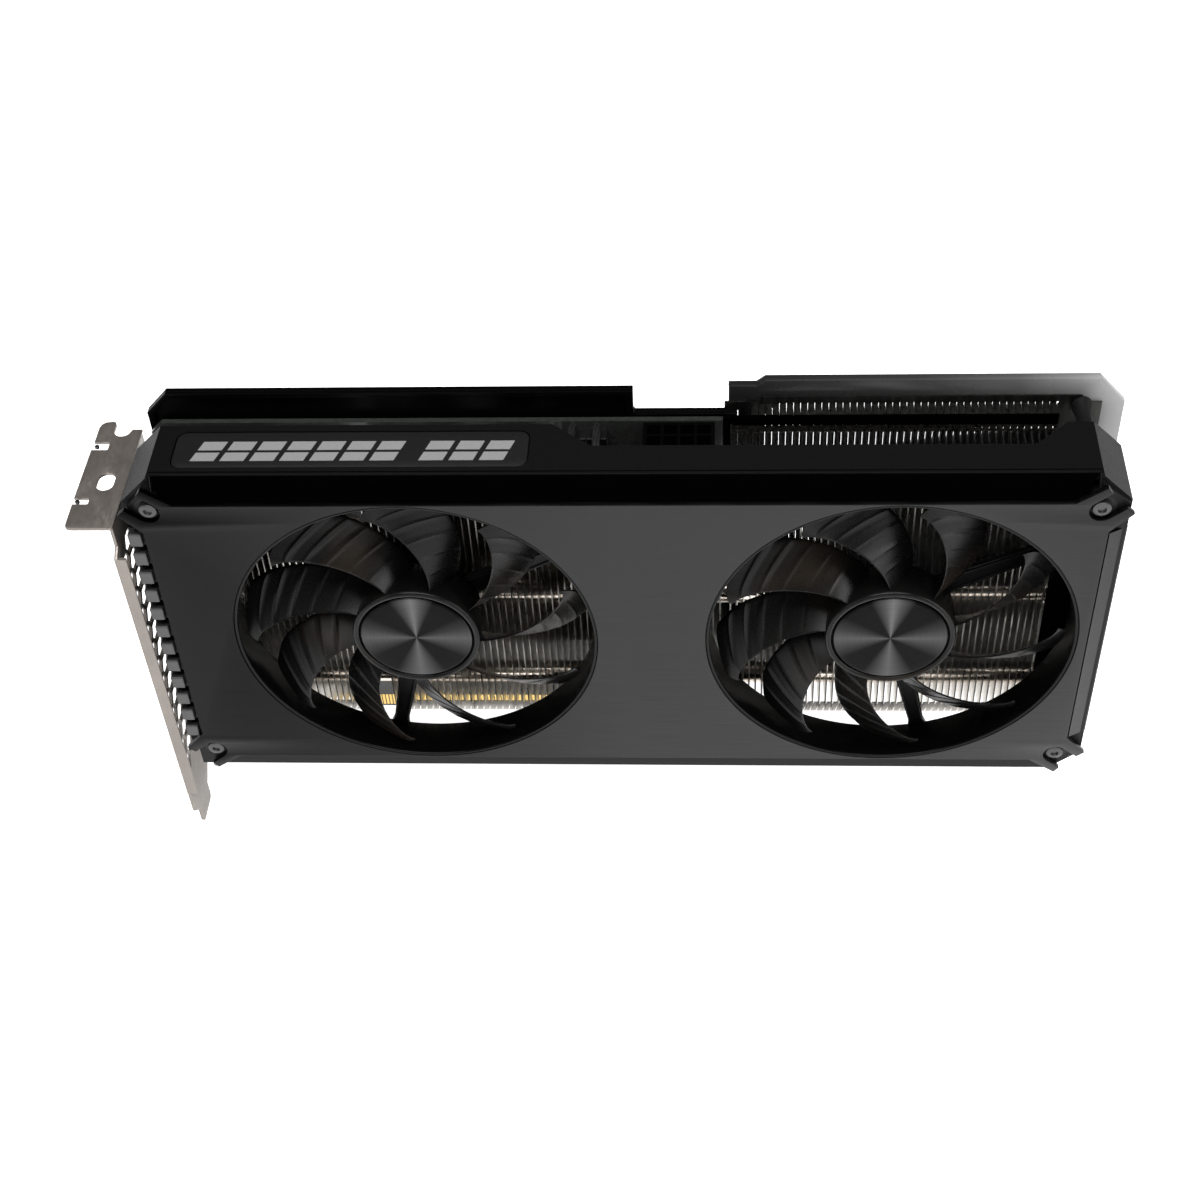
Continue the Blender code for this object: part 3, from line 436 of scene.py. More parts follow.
# ---- face plate ---------------------------------------------------------------
SLOT_C, SLOT_R, SLOT_A = (-2.4, -2.2), 3.15, math.radians(40)
SCREWS = [(FACE_X[i] + s * SLOT_C[0], FACE_Z[j] + t * SLOT_C[1]) for i, s in ((0, -1), (1, 1)) for j, t in ((0, -1), (1, 1))]


def ear():
    d = (math.cos(SLOT_A), math.sin(SLOT_A))
    n = (-d[1], d[0])
    at = lambda l, w: (SLOT_C[0] + d[0] * l + n[0] * w, SLOT_C[1] + d[1] * l + n[1] * w)
    pts = [(-9.1, 0.0), (-1.9, 5.1), at(4.9, SLOT_R), at(0, SLOT_R)]
    for i in range(1, 16):
        a = math.pi / 2 + math.pi * i / 16
        pts.append(at(SLOT_R * math.cos(a), SLOT_R * math.sin(a)))
    pts += [at(0, -SLOT_R), at(4.9, -SLOT_R), (5.3, -3.1), (1.2, -7.7), (0.0, -9.1)]
    return pts


def face_outline():
    e = ear()
    return ([(FACE_X[1] + a, FACE_Z[1] + b) for a, b in e] + [(FACE_X[1] + a, FACE_Z[0] - b) for a, b in reversed(e)]
            + [(FACE_X[0] - a, FACE_Z[0] - b) for a, b in e] + [(FACE_X[0] - a, FACE_Z[1] + b) for a, b in reversed(e)])


outline("face_sheet", [face_outline()] + [circle(cx, FAN_Z, OPEN_R, 180) for cx in FAN_X], "Y", FACE_Y, FACE_Y + FACE_T, "face",
        edge=0.09, slot="brushed_face", replaces=("front_plate",))

# ---- shroud ---------------------------------------------------------------------
WEB_Y = (FACE_Y + FACE_T + GAP, FACE_Y + FACE_T + GAP + 1.6)
ACC_X, ACC_Y = (-77.6, 9.4), (-27.6, -14.9)


def shroud_mesh():
    ring = outline_mesh("s", [octagon(BODY_X, BODY_Z, CORNER), octagon(BODY_X, BODY_Z, CORNER, WALL + 0.6)], "Y", WEB_Y[1] - 0.2, BODY_BACK)
    web = outline_mesh("w", [[(BODY_X[0] + 1.9, BODY_Z[0] + 1), (BODY_X[1] - 0.5 - CORNER, BODY_Z[0] + 1), (BODY_X[1] - 0.6, BODY_Z[0] + CORNER),
                              (BODY_X[1] - 0.6, BODY_Z[1] - CORNER), (BODY_X[1] - CORNER - 0.6, BODY_Z[1] - 0.9),
                              (BODY_X[0] + CORNER + 0.6, BODY_Z[1] - 0.9), (BODY_X[0] + 1.9, BODY_Z[1] - CORNER)]]
                       + [circle(cx, FAN_Z, OPEN_R - 0.4, 96) for cx in FAN_X], "Y", *WEB_Y)
    strip = mesh_of(lambda bm: add_prism(bm, [(FACE_X[1] + GAP, FACE_Y + 0.2), (BODY_X[1] - 0.06, FACE_Y + 2.6), (BODY_X[1] - 0.06, -31.3), (151.6, -31.3),
                                              (151.6, -32.3), (FACE_X[1] + GAP, -32.3)], "Z", 27.5, 102.9))
    body = combine(ring, [web, strip])
    cuts = [mesh_of(lambda bm: add_box(bm, (BODY_X[0] + 8.3, BODY_X[1] - 8.0), (-40, -30.4), (110.6, 125))),
            mesh_of(lambda bm: add_box(bm, (BODY_X[0] + 6.0, BODY_X[1] - 6.0), (-22.7, 0), (5, 21))),
            mesh_of(lambda bm: add_prism(bm, [(14.4, -10), (14.4, BODY_BACK + 0.2), (24.6, -20.4), (131.4, -20.4), (139.7, BODY_BACK + 0.2), (139.7, -10)], "Z", 112, 125)),
            outline_mesh("c", [round_rect((ACC_X[0] - GAP, ACC_X[1] + GAP), (ACC_Y[0] - GAP, ACC_Y[1] + GAP), 2.8)], "Z", BODY_Z[1] - 1.3, BODY_Z[1] + 1),
            mesh_of(lambda bm: add_box(bm, (BODY_X[0] + 7.9, BODY_X[1] - 7.6), (-29.75, -29.25), (BODY_Z[1] - 0.45, 125)))]
    slots = mesh_of(lambda bm: [add_box(bm, (-96, -86.2), (-41, -27.0), (23.45 + i * 6.6, 25.35 + i * 6.6)) for i in range(13)])
    return combine(body, cuts + [slots], "DIFFERENCE")


dress(shroud_mesh(), "shroud_body", "rail", slot="black_plastic", replaces=("shroud",), bevel=0.25, segs=2)

bm = bmesh.new()
for cx in FAN_X:                                   # duct wall behind each opening, with its rolled front lip
    add_turned(bm, [(46.05, -34.55), (46.2, -34.8), (46.6, -34.88), (46.85, -34.7), (46.88, -33.2), (47.05, -33.0), (47.05, -24.0), (46.3, -23.8), (46.1, -24.2), (46.05, -33.9)],
               (cx, FAN_Z), 180)
add_box(bm, (141.2, 152.0), (-13.7, -12.9), (19.0, 109.0))
piece(bm, "fan_ducts", "duct", slot="black_plastic", sharp=50)
bm = bmesh.new()
for i in range(12):
    add_box(bm, (BODY_X[0] + 0.15, BODY_X[0] + 3.65), (FACE_Y + 0.5, WEB_Y[1]), (25.65 + i * 6.6, 29.75 + i * 6.6))
piece(bm, "side_teeth", "teeth", slot="black_plastic", bevel=0.4, segs=2)
bm = bmesh.new()
for x, z in SCREWS:
    add_turned(bm, [(0, -33.25), (3.55, -33.25), (3.6, -33.1), (3.6, -26.0), (0, -26.0)], (x, z), 40)
for cx, arms in zip(FAN_X, FAN_ARMS):
    for a in arms:
        x, z = cx + POST_R * math.cos(math.radians(a)), FAN_Z + POST_R * math.sin(math.radians(a))
        add_turned(bm, [(0, -32.5), (2.8, -32.5), (2.3, -22.5), (0, -22.5)], (x, z), 24)
piece(bm, "shroud_bosses", "black", slot="black_plastic")

bm = bmesh.new()
add_prism(bm, [(148.62, -34.87), (153.2, -32.50), (153.2, -32.30), (148.62, -34.65)], "Z", 27.6, 102.8)
piece(bm, "side_strip", "face", slot="brushed_face", flat=True)

# glossy recessed strip with slanted ends and a rounded crown
bm = bmesh.new()
prof = [(-33.45, 111.0), (-33.45, 111.7), (-33.2, 112.6), (-31.8, 116.0), (-30.85, 118.2), (-30.65, 118.45), (-30.5, 118.2), (-30.5, 115.8), (-31.3, 113.4), (-31.4, 111.0)]
ends = []
for side in (0, 1):
    ring = []
    for y, z in prof:
        t = (z - 111.0) / 7.5
        x = (-79.6 - 2.2 * t) if side == 0 else (141.4 + 3.4 * t ** 1.6)
        ring.append(bm.verts.new((x, y, z)))
    ends.append(ring)
n = len(prof)
bm.faces.new(ends[0]); bm.faces.new(ends[1])
for i in range(n):
    bm.faces.new((ends[0][i], ends[0][(i + 1) % n], ends[1][(i + 1) % n], ends[1][i]))
piece(bm, "gloss_panel", "gloss", slot="gloss_black", replaces=("gloss_strip",), sharp=20, bevel=0.25, segs=3)

# rail corner facets beside the strip
bm = bmesh.new()
add_prism(bm, [(-33.1, 111.2), (-33.1, 113.0), (-30.6, 118.3), (-29.8, 118.3), (-29.8, 111.2)], "X", -82.6, -81.9)
add_prism(bm, [(-33.1, 111.2), (-33.1, 113.0), (-30.6, 118.3), (-29.8, 118.3), (-29.8, 111.2)], "X", 145.0, 145.6)
piece(bm, "strip_ends", "plate", slot="black_plastic", bevel=0.15)

# name plate and its plain bars
outline("name_panel", [round_rect(ACC_X, ACC_Y, 2.5)], "Z", BODY_Z[1] - 1.0, BODY_Z[1] - 0.12, "plate", edge=0.18, slot="black_plastic", replaces=("accent_plate",))
bm = bmesh.new()
x = -73.0
for k in range(10):
    if k == 7:
        x += 4.6
    w = 5.9
    for v0, v1 in ((-25.4, -22.4), (-21.5, -18.4)):
        s = lambda v: 0.34 * (v + 25.4)
        add_prism(bm, [(x + s(v0), v0), (x + w + s(v0), v0), (x + w + s(v1), v1), (x + s(v1), v1)], "Z", BODY_Z[1] - 0.14, BODY_Z[1] - 0.02)
    x += 7.35
piece(bm, "name_bars", "print", slot="black_plastic", flat=True)

bm = bmesh.new()
for x, z in SCREWS:
    add_turned(bm, [(0, -34.0), (0.85, -34.0), (1.05, -34.55), (1.7, -34.55), (2.2, -34.3), (2.35, -33.9), (2.35, -33.4), (1.3, -33.4), (1.3, -28.4), (0, -28.4)], (x, z), 40)
piece(bm, "cover_screws", "blackscrew", slot="black_screws", replaces=("cover_screw_1", "cover_screw_2", "cover_screw_3", "cover_screw_4"))


# ---- fans -------------------------------------------------------------------------
def add_blades(bm, cx, rest):
    ribs = (0.22, 0.40, 0.58, 0.74, 0.88)
    vs = [(j / 22, 0.0) for j in range(23)]
    for q in ribs:
        vs += [(q - 0.009, 0.0), (q - 0.003, 1.0), (q + 0.003, 1.0), (q + 0.009, 0.0)]
    vs = sorted(v for v in vs if not any(abs(v[0] - q) < 0.02 and v[1] == 0.0 and abs(abs(v[0] - q) - 0.009) > 1e-6 for q in ribs))
    nu = 16
    for k in range(BLADES):
        sheets = []
        for side in (-1, 1):
            grid = []
            for v, rib in vs:
                r0 = HUB_R - 0.7 + (BLADE_R - HUB_R + 0.7) * v
                lead = math.radians(115 + 31 * v ** 1.15)
                trail = math.radians(94 + 30 * v ** 1.15)
                line = []
                for i in range(nu + 1):
                    u = i / nu
                    uu = 0.5 - 0.5 * math.cos(math.pi * u)
                    # rounded tip corners
                    r = r0 - (2.6 * v ** 9) * abs(2 * uu - 1) ** 6
                    a = lead + (trail - lead) * uu + math.radians(360 / BLADES * k + rest)
                    edge = math.sin(math.pi * min(1.0, max(0.0, uu))) ** 0.35
                    th = (0.16 + 0.42 * edge * (1 - 0.5 * v)) * side
                    y = -33.3 + (9.0 - 1.2 * v) * (uu ** 0.9) + th
                    if side < 0 and rib and 0 < i < nu:
                        y -= 0.13 * edge
                    line.append(bm.verts.new((cx + r * math.cos(a), y, FAN_Z + r * math.sin(a))))
                grid.append(line)
            sheets.append(grid)
        f, b = sheets
        nv = len(vs) - 1
        for j in range(nv):
            for i in range(nu):
                bm.faces.new((f[j][i], f[j][i + 1], f[j + 1][i + 1], f[j + 1][i]))
                bm.faces.new((b[j][i], b[j + 1][i], b[j + 1][i + 1], b[j][i + 1]))
        rim = [(0, i) for i in range(nu)] + [(j, nu) for j in range(nv)] + [(nv, i) for i in range(nu, 0, -1)] + [(j, 0) for j in range(nv, 0, -1)]
        for (j0, i0), (j1, i1) in zip(rim, rim[1:] + rim[:1]):
            bm.faces.new((f[j0][i0], b[j0][i0], b[j1][i1], f[j1][i1]))


def add_tube(bm, pts, r, steps=10, mat=0):
    rings = []
    up = Vector((0.3, 0.2, 1)).normalized()
    for i, p in enumerate(pts):
        t = (Vector(pts[min(i + 1, len(pts) - 1)]) - Vector(pts[max(i - 1, 0)])).normalized()
        a = (up - t * up.dot(t)).normalized()
        up = a
        b = t.cross(a)
        rings.append([bm.verts.new(Vector(p) + (a * math.cos(2 * math.pi * k / steps) + b * math.sin(2 * math.pi * k / steps)) * r) for k in range(steps)])
    fs = [bm.faces.new(rings[0]), bm.faces.new(rings[-1])]
    for p, q in zip(rings, rings[1:]):
        for k in range(steps):
            fs.append(bm.faces.new((p[k], p[(k + 1) % steps], q[(k + 1) % steps], q[k])))
    for f in fs:
        f.material_index = mat


def smooth_path(keys, n):
    k = [Vector(p) for p in keys]
    k = [2 * k[0] - k[1]] + k + [2 * k[-1] - k[-2]]
    out = []
    for a, b, c, d in zip(k, k[1:], k[2:], k[3:]):
        for i in range(n):
            t = i / n
            out.append(0.5 * ((2 * b) + (c - a) * t + (2 * a - 5 * b + 4 * c - d) * t * t + (3 * b - a - 3 * c + d) * t ** 3))
    out.append(k[-2])
    return out


def build_fan(side, cx, rest, arms):
    body, c = side + "_fan", (cx, FAN_Z)
    bm = bmesh.new()
    add_turned(bm, [(0, -33.1), (14.2, -33.1), (14.75, -33.3), (14.95, -34.1), (15.3, -34.42), (15.8, -34.5), (16.25, -34.3), (16.5, -33.9), (16.62, -33.2),
                    (16.62, -23.9), (16.4, -23.6), (15.5, -23.6), (15.4, -24.0), (15.4, -31.7), (0, -31.7)], c, 96)
    add_blades(bm, cx, rest)
    piece(bm, side + "_impeller", "blade", body, "fan_plastic", (body + "_rotor",), sharp=38)
    # turned disc, very slightly domed
    prof = [(0, -34.22), (5.0, -34.23), (10.0, -34.26), (13.6, -34.32), (14.0, -34.30), (14.35, -34.15), (14.5, -33.9), (14.5, -33.2), (0, -33.2)]
    bm = bmesh.new()
    add_turned(bm, prof, c, 96)
    m, nt, b = disc_material(side + "_disc_metal")
    tc = nt.nodes.new("ShaderNodeTexCoord")
    sub = nt.nodes.new("ShaderNodeVectorMath")
    sub.operation = "SUBTRACT"
    sub.inputs[1].default_value = (cx * MM, 0, FAN_Z * MM)
    nt.links.new(tc.outputs["Object"], sub.inputs[0])
    flat = nt.nodes.new("ShaderNodeVectorMath")
    flat.operation = "MULTIPLY"
    flat.inputs[1].default_value = (1, 0, 1)
    nt.links.new(sub.outputs[0], flat.inputs[0])
    ln = nt.nodes.new("ShaderNodeVectorMath")
    ln.operation = "LENGTH"
    nt.links.new(flat.outputs[0], ln.inputs[0])
    nz = nt.nodes.new("ShaderNodeTexNoise")
    nz.noise_dimensions = "1D"
    nz.inputs["Scale"].default_value = 3000.0
    nt.links.new(ln.outputs["Value"], nz.inputs["W"])
    sep = nt.nodes.new("ShaderNodeSeparateXYZ")
    nt.links.new(flat.outputs[0], sep.inputs["Vector"])
    at = nt.nodes.new("ShaderNodeMath")
    at.operation = "ARCTAN2"
    nt.links.new(sep.outputs["Z"], at.inputs[0])
    nt.links.new(sep.outputs["X"], at.inputs[1])
    turn = spread(nt, at.outputs["Value"], 0.0, 1.0, -math.pi, math.pi)
    stops = []                                      # painted highlight: bright wedges of reflection at top, sides and foot, fixed to the turned disc
    for deg, g in ((-180, 0.055), (-166, 0.030), (-148, 0.004), (-118, 0.003), (-104, 0.030), (-90, 0.062), (-76, 0.030), (-62, 0.003), (-32, 0.004), (-14, 0.030),
                   (0, 0.055), (16, 0.022), (34, 0.003), (66, 0.003), (80, 0.040), (90, 0.085), (100, 0.040), (114, 0.003), (146, 0.003), (164, 0.022), (180, 0.055)):
        stops.append(((deg + 180) / 360, (g, g, g * 1.01)))
    painted_sheen = ramp(nt, turn, stops)
    painted_sheen = mix(nt, 1.0, painted_sheen, ramp(nt, nz.outputs["Fac"], [(0.3, (0.86, 0.86, 0.86)), (0.7, (1.14, 1.14, 1.14))]), "MULTIPLY")
    nt.links.new(painted_sheen, b.inputs["Base Color"])
    b.inputs["Metallic"].default_value = 1.0
    nt.links.new(spread(nt, nz.outputs["Fac"], 0.34, 0.42), b.inputs["Roughness"])
    bump(nt, b, nz.outputs["Fac"], 0.04, 0.00002)
    piece(bm, side + "_hub_disc", m, body, "hub_disc", (body + "_cap",), sharp=50)
    # motor base with ribbed arms, screws at their ends
    bm = bmesh.new()
    add_turned(bm, [(3.3, -30.8), (3.3, -22.6), (13.2, -22.6), (13.8, -22.2), (13.9, -21.6), (13.9, -20.6), (13.6, BASE_Y[1]), (0, BASE_Y[1]), (0, -22.5), (2.6, -22.5), (2.6, -30.8)], c, 64)
    for a in arms:
        a = math.radians(a)
        d, t = Vector((math.cos(a), math.sin(a))), Vector((-math.sin(a), math.cos(a)))
        o = Vector(c)
        q = [o + d * 12.5 + t * 3.2, o + d * 12.5 - t * 3.2, o + d * (POST_R - 3) - t * 2.0]
        q += [o + d * POST_R + (d * math.cos(s) + t * math.sin(s)) * 2.6 for s in [-math.pi / 2 + math.pi * i / 8 for i in range(9)]]
        q += [o + d * (POST_R - 3) + t * 2.0]
        add_prism(bm, [tuple(p) for p in q], "Y", BASE_Y[0] + 0.1, BASE_Y[1] - 0.1)
        for w in (-1.5, 1.5):
            r0, r1 = o + d * 13.0 + t * w * 1.5, o + d * (POST_R - 3.4) + t * w * 0.9
            e = t * 0.35
            add_prism(bm, [tuple(r0 - e), tuple(r1 - e), tuple(r1 + e), tuple(r0 + e)], "Y", BASE_Y[0] - 0.5, BASE_Y[0] + 0.3)
    piece(bm, side + "_motor_base", "black", "card", "black_plastic", (body + "_base",), bevel=0.15, segs=1)
    bm = bmesh.new()
    for a in arms:
        a = math.radians(a)
        x, z = cx + POST_R * math.cos(a), FAN_Z + POST_R * math.sin(a)
        add_turned(bm, [(0, -20.1), (0.9, -20.1), (1.1, -19.5), (1.9, -19.5), (2.2, -19.8), (2.2, -20.5), (0, -20.5)], (x, z), 24)
    piece(bm, side + "_arm_screws", "blackscrew", "card", "black_screws")


build_fan("left", FAN_X[0], BLADE_TURN[0], FAN_ARMS[0])
build_fan("right", FAN_X[1], BLADE_TURN[1], FAN_ARMS[1])

PATHS = {"left": [(-13.0, -19.0, 68.5), (4.0, -19.0, 76.0), (15.0, -19.0, 90.0), (18.5, -19.0, 104.0), (18.8, -15.6, 112.2), (18.9, -9.0, 112.4), (19.0, -4.2, 111.0), (19.0, -3.9, 108.6)],
         "right": [(88.0, -19.0, 69.0), (68.0, -19.0, 78.0), (42.0, -19.0, 90.0), (27.5, -19.0, 104.0), (25.4, -15.6, 112.2), (25.1, -9.0, 112.4), (25.0, -4.2, 111.0), (25.0, -3.9, 108.6)]}
for side, keys in PATHS.items():
    pts = smooth_path(keys, 10)
    bm = bmesh.new()
    for w in range(4):                               # four thin wires laid into one lead with a slow twist
        run = []
        for i, p in enumerate(pts):
            t = (Vector(pts[min(i + 1, len(pts) - 1)]) - Vector(pts[max(i - 1, 0)])).normalized()
            a = t.cross(Vector((0, 0, 1)) if abs(t.z) < 0.9 else Vector((1, 0, 0))).normalized()
            b = t.cross(a)
            s = math.pi / 2 * w + i * 0.10
            run.append(Vector(p) + (a * math.cos(s) + b * math.sin(s)) * 0.58)
        add_tube(bm, run, 0.41, 8, mat=w)
    piece(bm, side + "_wires", ["lead", "lead", "lead", "lead"], "card", "lead", (side + "_fan_lead",))

# ---- heatsink ------------------------------------------------------------------
def fin_positions(x):
    n = int(round((x[1] - x[0]) / FIN_PITCH))
    step = (x[1] - x[0]) / n
    return [x[0] + i * step for i in range(n + 1)], step


def add_fins(bm, x, yb, z, rear=None, tabs=True, front=FIN_FRONT):
    xs, step = fin_positions(x)
    t = 0.34
    for i, a in enumerate(xs):
        add_box(bm, (a, a + t), (front, yb), z)
        if i + 1 < len(xs):
            if tabs:
                # folded interlocking tab at the foot, slanted so the next one laps it
                z0 = z[0]
                pts = [(a - 0.35, z0), (a + step - 0.60, z0), (a + step + 0.42, z0 + 3.7), (a + 0.67, z0 + 3.7)]
                add_prism(bm, pts, "Y", front - 0.02, front + 0.20, mat=1)
                add_box(bm, (a, a + step - 0.1), (front + 1.0, front + 1.25), (z0, z0 + 1.2), mat=1)
    return xs, step


bm = bmesh.new()
add_fins(bm, (-79.4, -42.6), -6.7, FIN_Z)
piece(bm, "fins_left", ["fin", "finback"], slot="fins", replaces=("fin_stack_left",), flat=True)
bm = bmesh.new()
add_fins(bm, (-35.2, 32.9), -6.7, FIN_Z)
piece(bm, "fins_center", ["fin", "finback"], slot="fins", replaces=("fin_stack_center",), flat=True)
bm = bmesh.new()
add_fins(bm, (36.0, 55.7), -13.1, FIN_Z, tabs=True)
piece(bm, "fins_bridge", ["fin", "finback"], slot="fins", replaces=("fin_stack_bridge",), flat=True)
bm = bmesh.new()
xs, step = add_fins(bm, (58.4, 139.5), -1.9, FIN_Z)
for i, a in enumerate(xs):
    if a > 63.4:
        add_prism(bm, [(-1.9, FIN_Z[0]), (2.3, FIN_Z[0]), (2.3, 112.3), (-1.9, 112.3)], "X", a, a + 0.34)
    if i + 1 < len(xs):
        # chevron tabs along the top edge, two strips that meet in a V
        for y0, y1, s in ((-4.7, -3.3, 1), (-3.2, -1.95, -1)):
            q = 0.45 * s
            add_prism(bm, [(a + 0.35 - q, y0), (a + step - 0.05 - q, y0), (a + step - 0.05 + q, y1), (a + 0.35 + q, y1)], "Z", 108.95, 109.18, mat=2)
piece(bm, "fins_right", ["fin", "finback", "chev"], slot="fins", replaces=("fin_stack_right",), flat=True)
bm = bmesh.new()
for i, a in enumerate(xs[:-1]):                        # edges folded over to lap the next fin: rear face and top of the raised row
    if a > 62.4:
        add_box(bm, (a + 0.02, a + step - 0.10), (2.32, 2.6), (21.0, 112.6))
        add_box(bm, (a + 0.40, a + step - 0.16), (-1.8, 2.3), (112.0, 112.28))
    else:
        add_box(bm, (a + 0.02, a + step - 0.10), (-1.88, -1.65), (21.0, 109.1))
add_prism(bm, [(2.32, 112.6), (2.6, 112.6), (2.6, 114.6), (2.32, 114.6)], "X", 66.0, 145.6)
add_box(bm, (139.9, 150.6), (2.35, 2.6), (21.0, 112.5), mat=1)
add_box(bm, (60.35, 62.3), (2.36, 2.9), (95.0, 110.2), mat=1)
add_box(bm, (56.9, 62.3), (2.40, 2.94), (110.25, 112.9), mat=1)
piece(bm, "fins_rear", ["finback", "gloss"], slot="fins", flat=True)
bm = bmesh.new()                                       # pad between the first two stacks
add_prism(bm, [(-43.4, 92.4), (-34.8, 90.4), (-34.6, 91.9), (-43.2, 94.0)], "Y", -17.9, -17.6)
add_prism(bm, [(-38.6, 88.6), (-36.4, 88.0), (-35.9, 90.2), (-38.2, 90.9)], "Y", -17.9, -17.3)
piece(bm, "fin_pad", "beige", slot="fins", flat=True)
bm = bmesh.new()
add_prism(bm, [(-2.45, 109.35), (-2.0, 109.35), (-2.0, 112.1), (-1.95, 112.35), (-2.2, 112.45), (-2.45, 112.2)], "X", 58.9, 139.4)
piece(bm, "fin_trim", "gloss", slot="black_sheet", replaces=("fin_trim_strip",), bevel=0.1, segs=1)
for n, pz in enumerate(PIPE_Z):
    bm = bmesh.new()
    add_turned(bm, [(0, -79.6), (2.2, -79.6), (2.8, -78.6), (3.0, -77.0), (3.0, 141.0), (2.8, 142.6), (2.0, 143.7), (0, 144.0)], (PIPE_Y, pz), 48, "X")
    piece(bm, "pipe_%d" % (n + 1), "pipe", slot="pipes", replaces=("heat_pipe_%d" % (n + 1),), sharp=45)

# ---- board ------------------------------------------------------------------------
bo = [(-90.0, 9.0), (-49.5, 9.0), (-49.5, 1.2), (-48.3, 0.0), (-38.3, 0.0), (-37.7, 0.8), (-37.7, 8.0), (-37.3, 8.4), (-36.2, 8.4), (-35.8, 8.0), (-35.8, 0.8), (-35.2, 0.0),
      (34.7, 0.0), (35.85, 1.2), (35.85, 10.5), (38.2, 10.5), (38.2, 3.4), (41.8, 3.4), (41.8, 6.0), (44.6, 9.0), (56.5, 9.0), (56.5, 109.6), (-87.0, 109.6), (-90.0, 106.6)]
bm = bmesh.new()
fs = add_prism(bm, bo, "Y", -H, H)
for f in fs[2:]:
    f.material_index = 1
piece(bm, "circuit_board", ["board", "laminate"], slot="board", replaces=("pcb",), flat=True)
bm = bmesh.new()
for s in (-1, 1):
    y = (s * H, s * (H + 0.05)) if s > 0 else (-H - 0.05, -H)
    for i in range(70):
        add_box(bm, (-34.85 + i, -34.15 + i), y, (0.7 if i % 5 else 1.3, 4.9))
    for i in range(11):
        add_box(bm, (-48.95 + i, -48.25 + i), y, (0.7, 4.9))
piece(bm, "gold_contacts", "gold", slot="board", flat=True)
bm = bmesh.new()
for x, z, w, h in ((-41.2, 12.0, 2.6, 2.0), (-38.2, 11.6, 1.6, 1.5), (-41.0, 15.4, 3.0, 0.8), (-40.5, 30.0, 2.4, 4.0), (-40.8, 50.0, 2.0, 5.0), (-41.0, 80.0, 2.4, 5.0)):
    add_box(bm, (x, x + w), (-H - 0.06, -H), (z, z + h))
piece(bm, "board_labels", "label", slot="board", flat=True)
bm = bmesh.new()
for i in range(46):                                   # small surface parts between the fin groups and along the top edge
    x = -88.0 + i * 3.1
    z = 104.0 + 1.6 * math.sin(i * 2.3)
    if not (14 < x < 57):
        add_box(bm, (x, x + 1.5), (-H - 0.6, -H), (z, z + 0.8))
for i in range(14):
    add_box(bm, (-41.4 + (i % 2) * 2.6, -40.0 + (i % 2) * 2.6), (-H - 0.55, -H), (20.0 + i * 5.4, 21.0 + i * 5.4))
piece(bm, "small_parts", "ferrite", slot="chips", bevel=0.1, segs=1)

# power header
bm = bmesh.new()
x0, x1, yy0, yy1, z0, z1 = 36.5, 54.5, SEAT - 9.6, SEAT, 96.6, 109.4
add_box(bm, (x0, x1), (yy0, yy1), (z0, z1 - 4.5))
cell_x = [37.5 + i * 4.2 for i in range(4)]
for a, b in [(x0, cell_x[0])] + [(cell_x[i] + 3.4, cell_x[i + 1]) for i in range(3)] + [(cell_x[3] + 3.4, x1)]:
    add_box(bm, (a, b), (yy0, yy1), (z1 - 4.5, z1))
for c0, c1 in ((yy0, SEAT - 8.6), (SEAT - 5.2, SEAT - 4.4), (SEAT - 1.0, yy1)):
    for cx in cell_x:
        add_box(bm, (cx, cx + 3.4), (c0, c1), (z1 - 4.5, z1 - 0.02))
add_box(bm, (44.0, 47.0), (yy0 - 0.9, yy0), (z1 - 6.0, z1 - 0.6))
piece(bm, "power_header", "duct", slot="black_plastic", replaces=("power_connector",), flat=True)
bm = bmesh.new()
for cx in cell_x:
    for cy in (SEAT - 6.9, SEAT - 2.7):
        add_box(bm, (cx + 1.3, cx + 2.1), (cy - 0.4, cy + 0.4), (z1 - 4.6, z1 - 3.6))
piece(bm, "header_pins", "blackscrew", slot="steel", flat=True)

# ---- bracket ------------------------------------------------------------------------
PORT_Y = (-6.7, SEAT)
PORTS = (("video_port_large", 24.0, 15.0), ("video_port_small_1", 46.0, 16.8), ("video_port_small_2", 68.0, 16.8), ("video_port_small_3", 89.0, 16.8))
BX = (BRACKET_X - BRACKET_T, BRACKET_X)
Y0, Y1, TIP = -35.8, 2.9, BRACKET_TOP - BRACKET_LEN
loops = [[(Y0, -6.0), (-32.1, -10.0), (-32.1, TIP + 1.6), (-31.5, TIP + 0.4), (-30.6, TIP), (-23.4, TIP), (-22.5, TIP + 0.4), (-21.9, TIP + 1.6), (-21.9, -10.4), (-17.6, -6.2),
          (-16.2, -6.2), (-11.8, -10.4), (-11.8, TIP + 1.6), (-11.2, TIP + 0.4), (-10.3, TIP), (-3.1, TIP), (-2.2, TIP + 0.4), (-1.6, TIP + 1.6), (-1.6, -10.0), (Y1, -6.0),
          (Y1, BRACKET_TOP - 0.1), (-33.0, BRACKET_TOP - 0.1), (-33.0, 97.0), (Y0, 95.2)]]
for name, z, w in PORTS:
    loops.append(round_rect((PORT_Y[0] - GAP, PORT_Y[1] + 0.25), (z - w / 2 - GAP, z + w / 2 + GAP), 0.6, 3))
for col in range(3):
    for row in range(13):
        yc, zc = -31.0 + col * 5.7, 9.4 + row * 6.6 + (3.3 if col % 2 else 0.0)
        loops.append(circle(yc, zc, 3.1, 6, 0.0))
outline("bracket_sheet", loops, "X", *BX, "nickel", edge=0.14, slot="bracket", replaces=("io_bracket",))
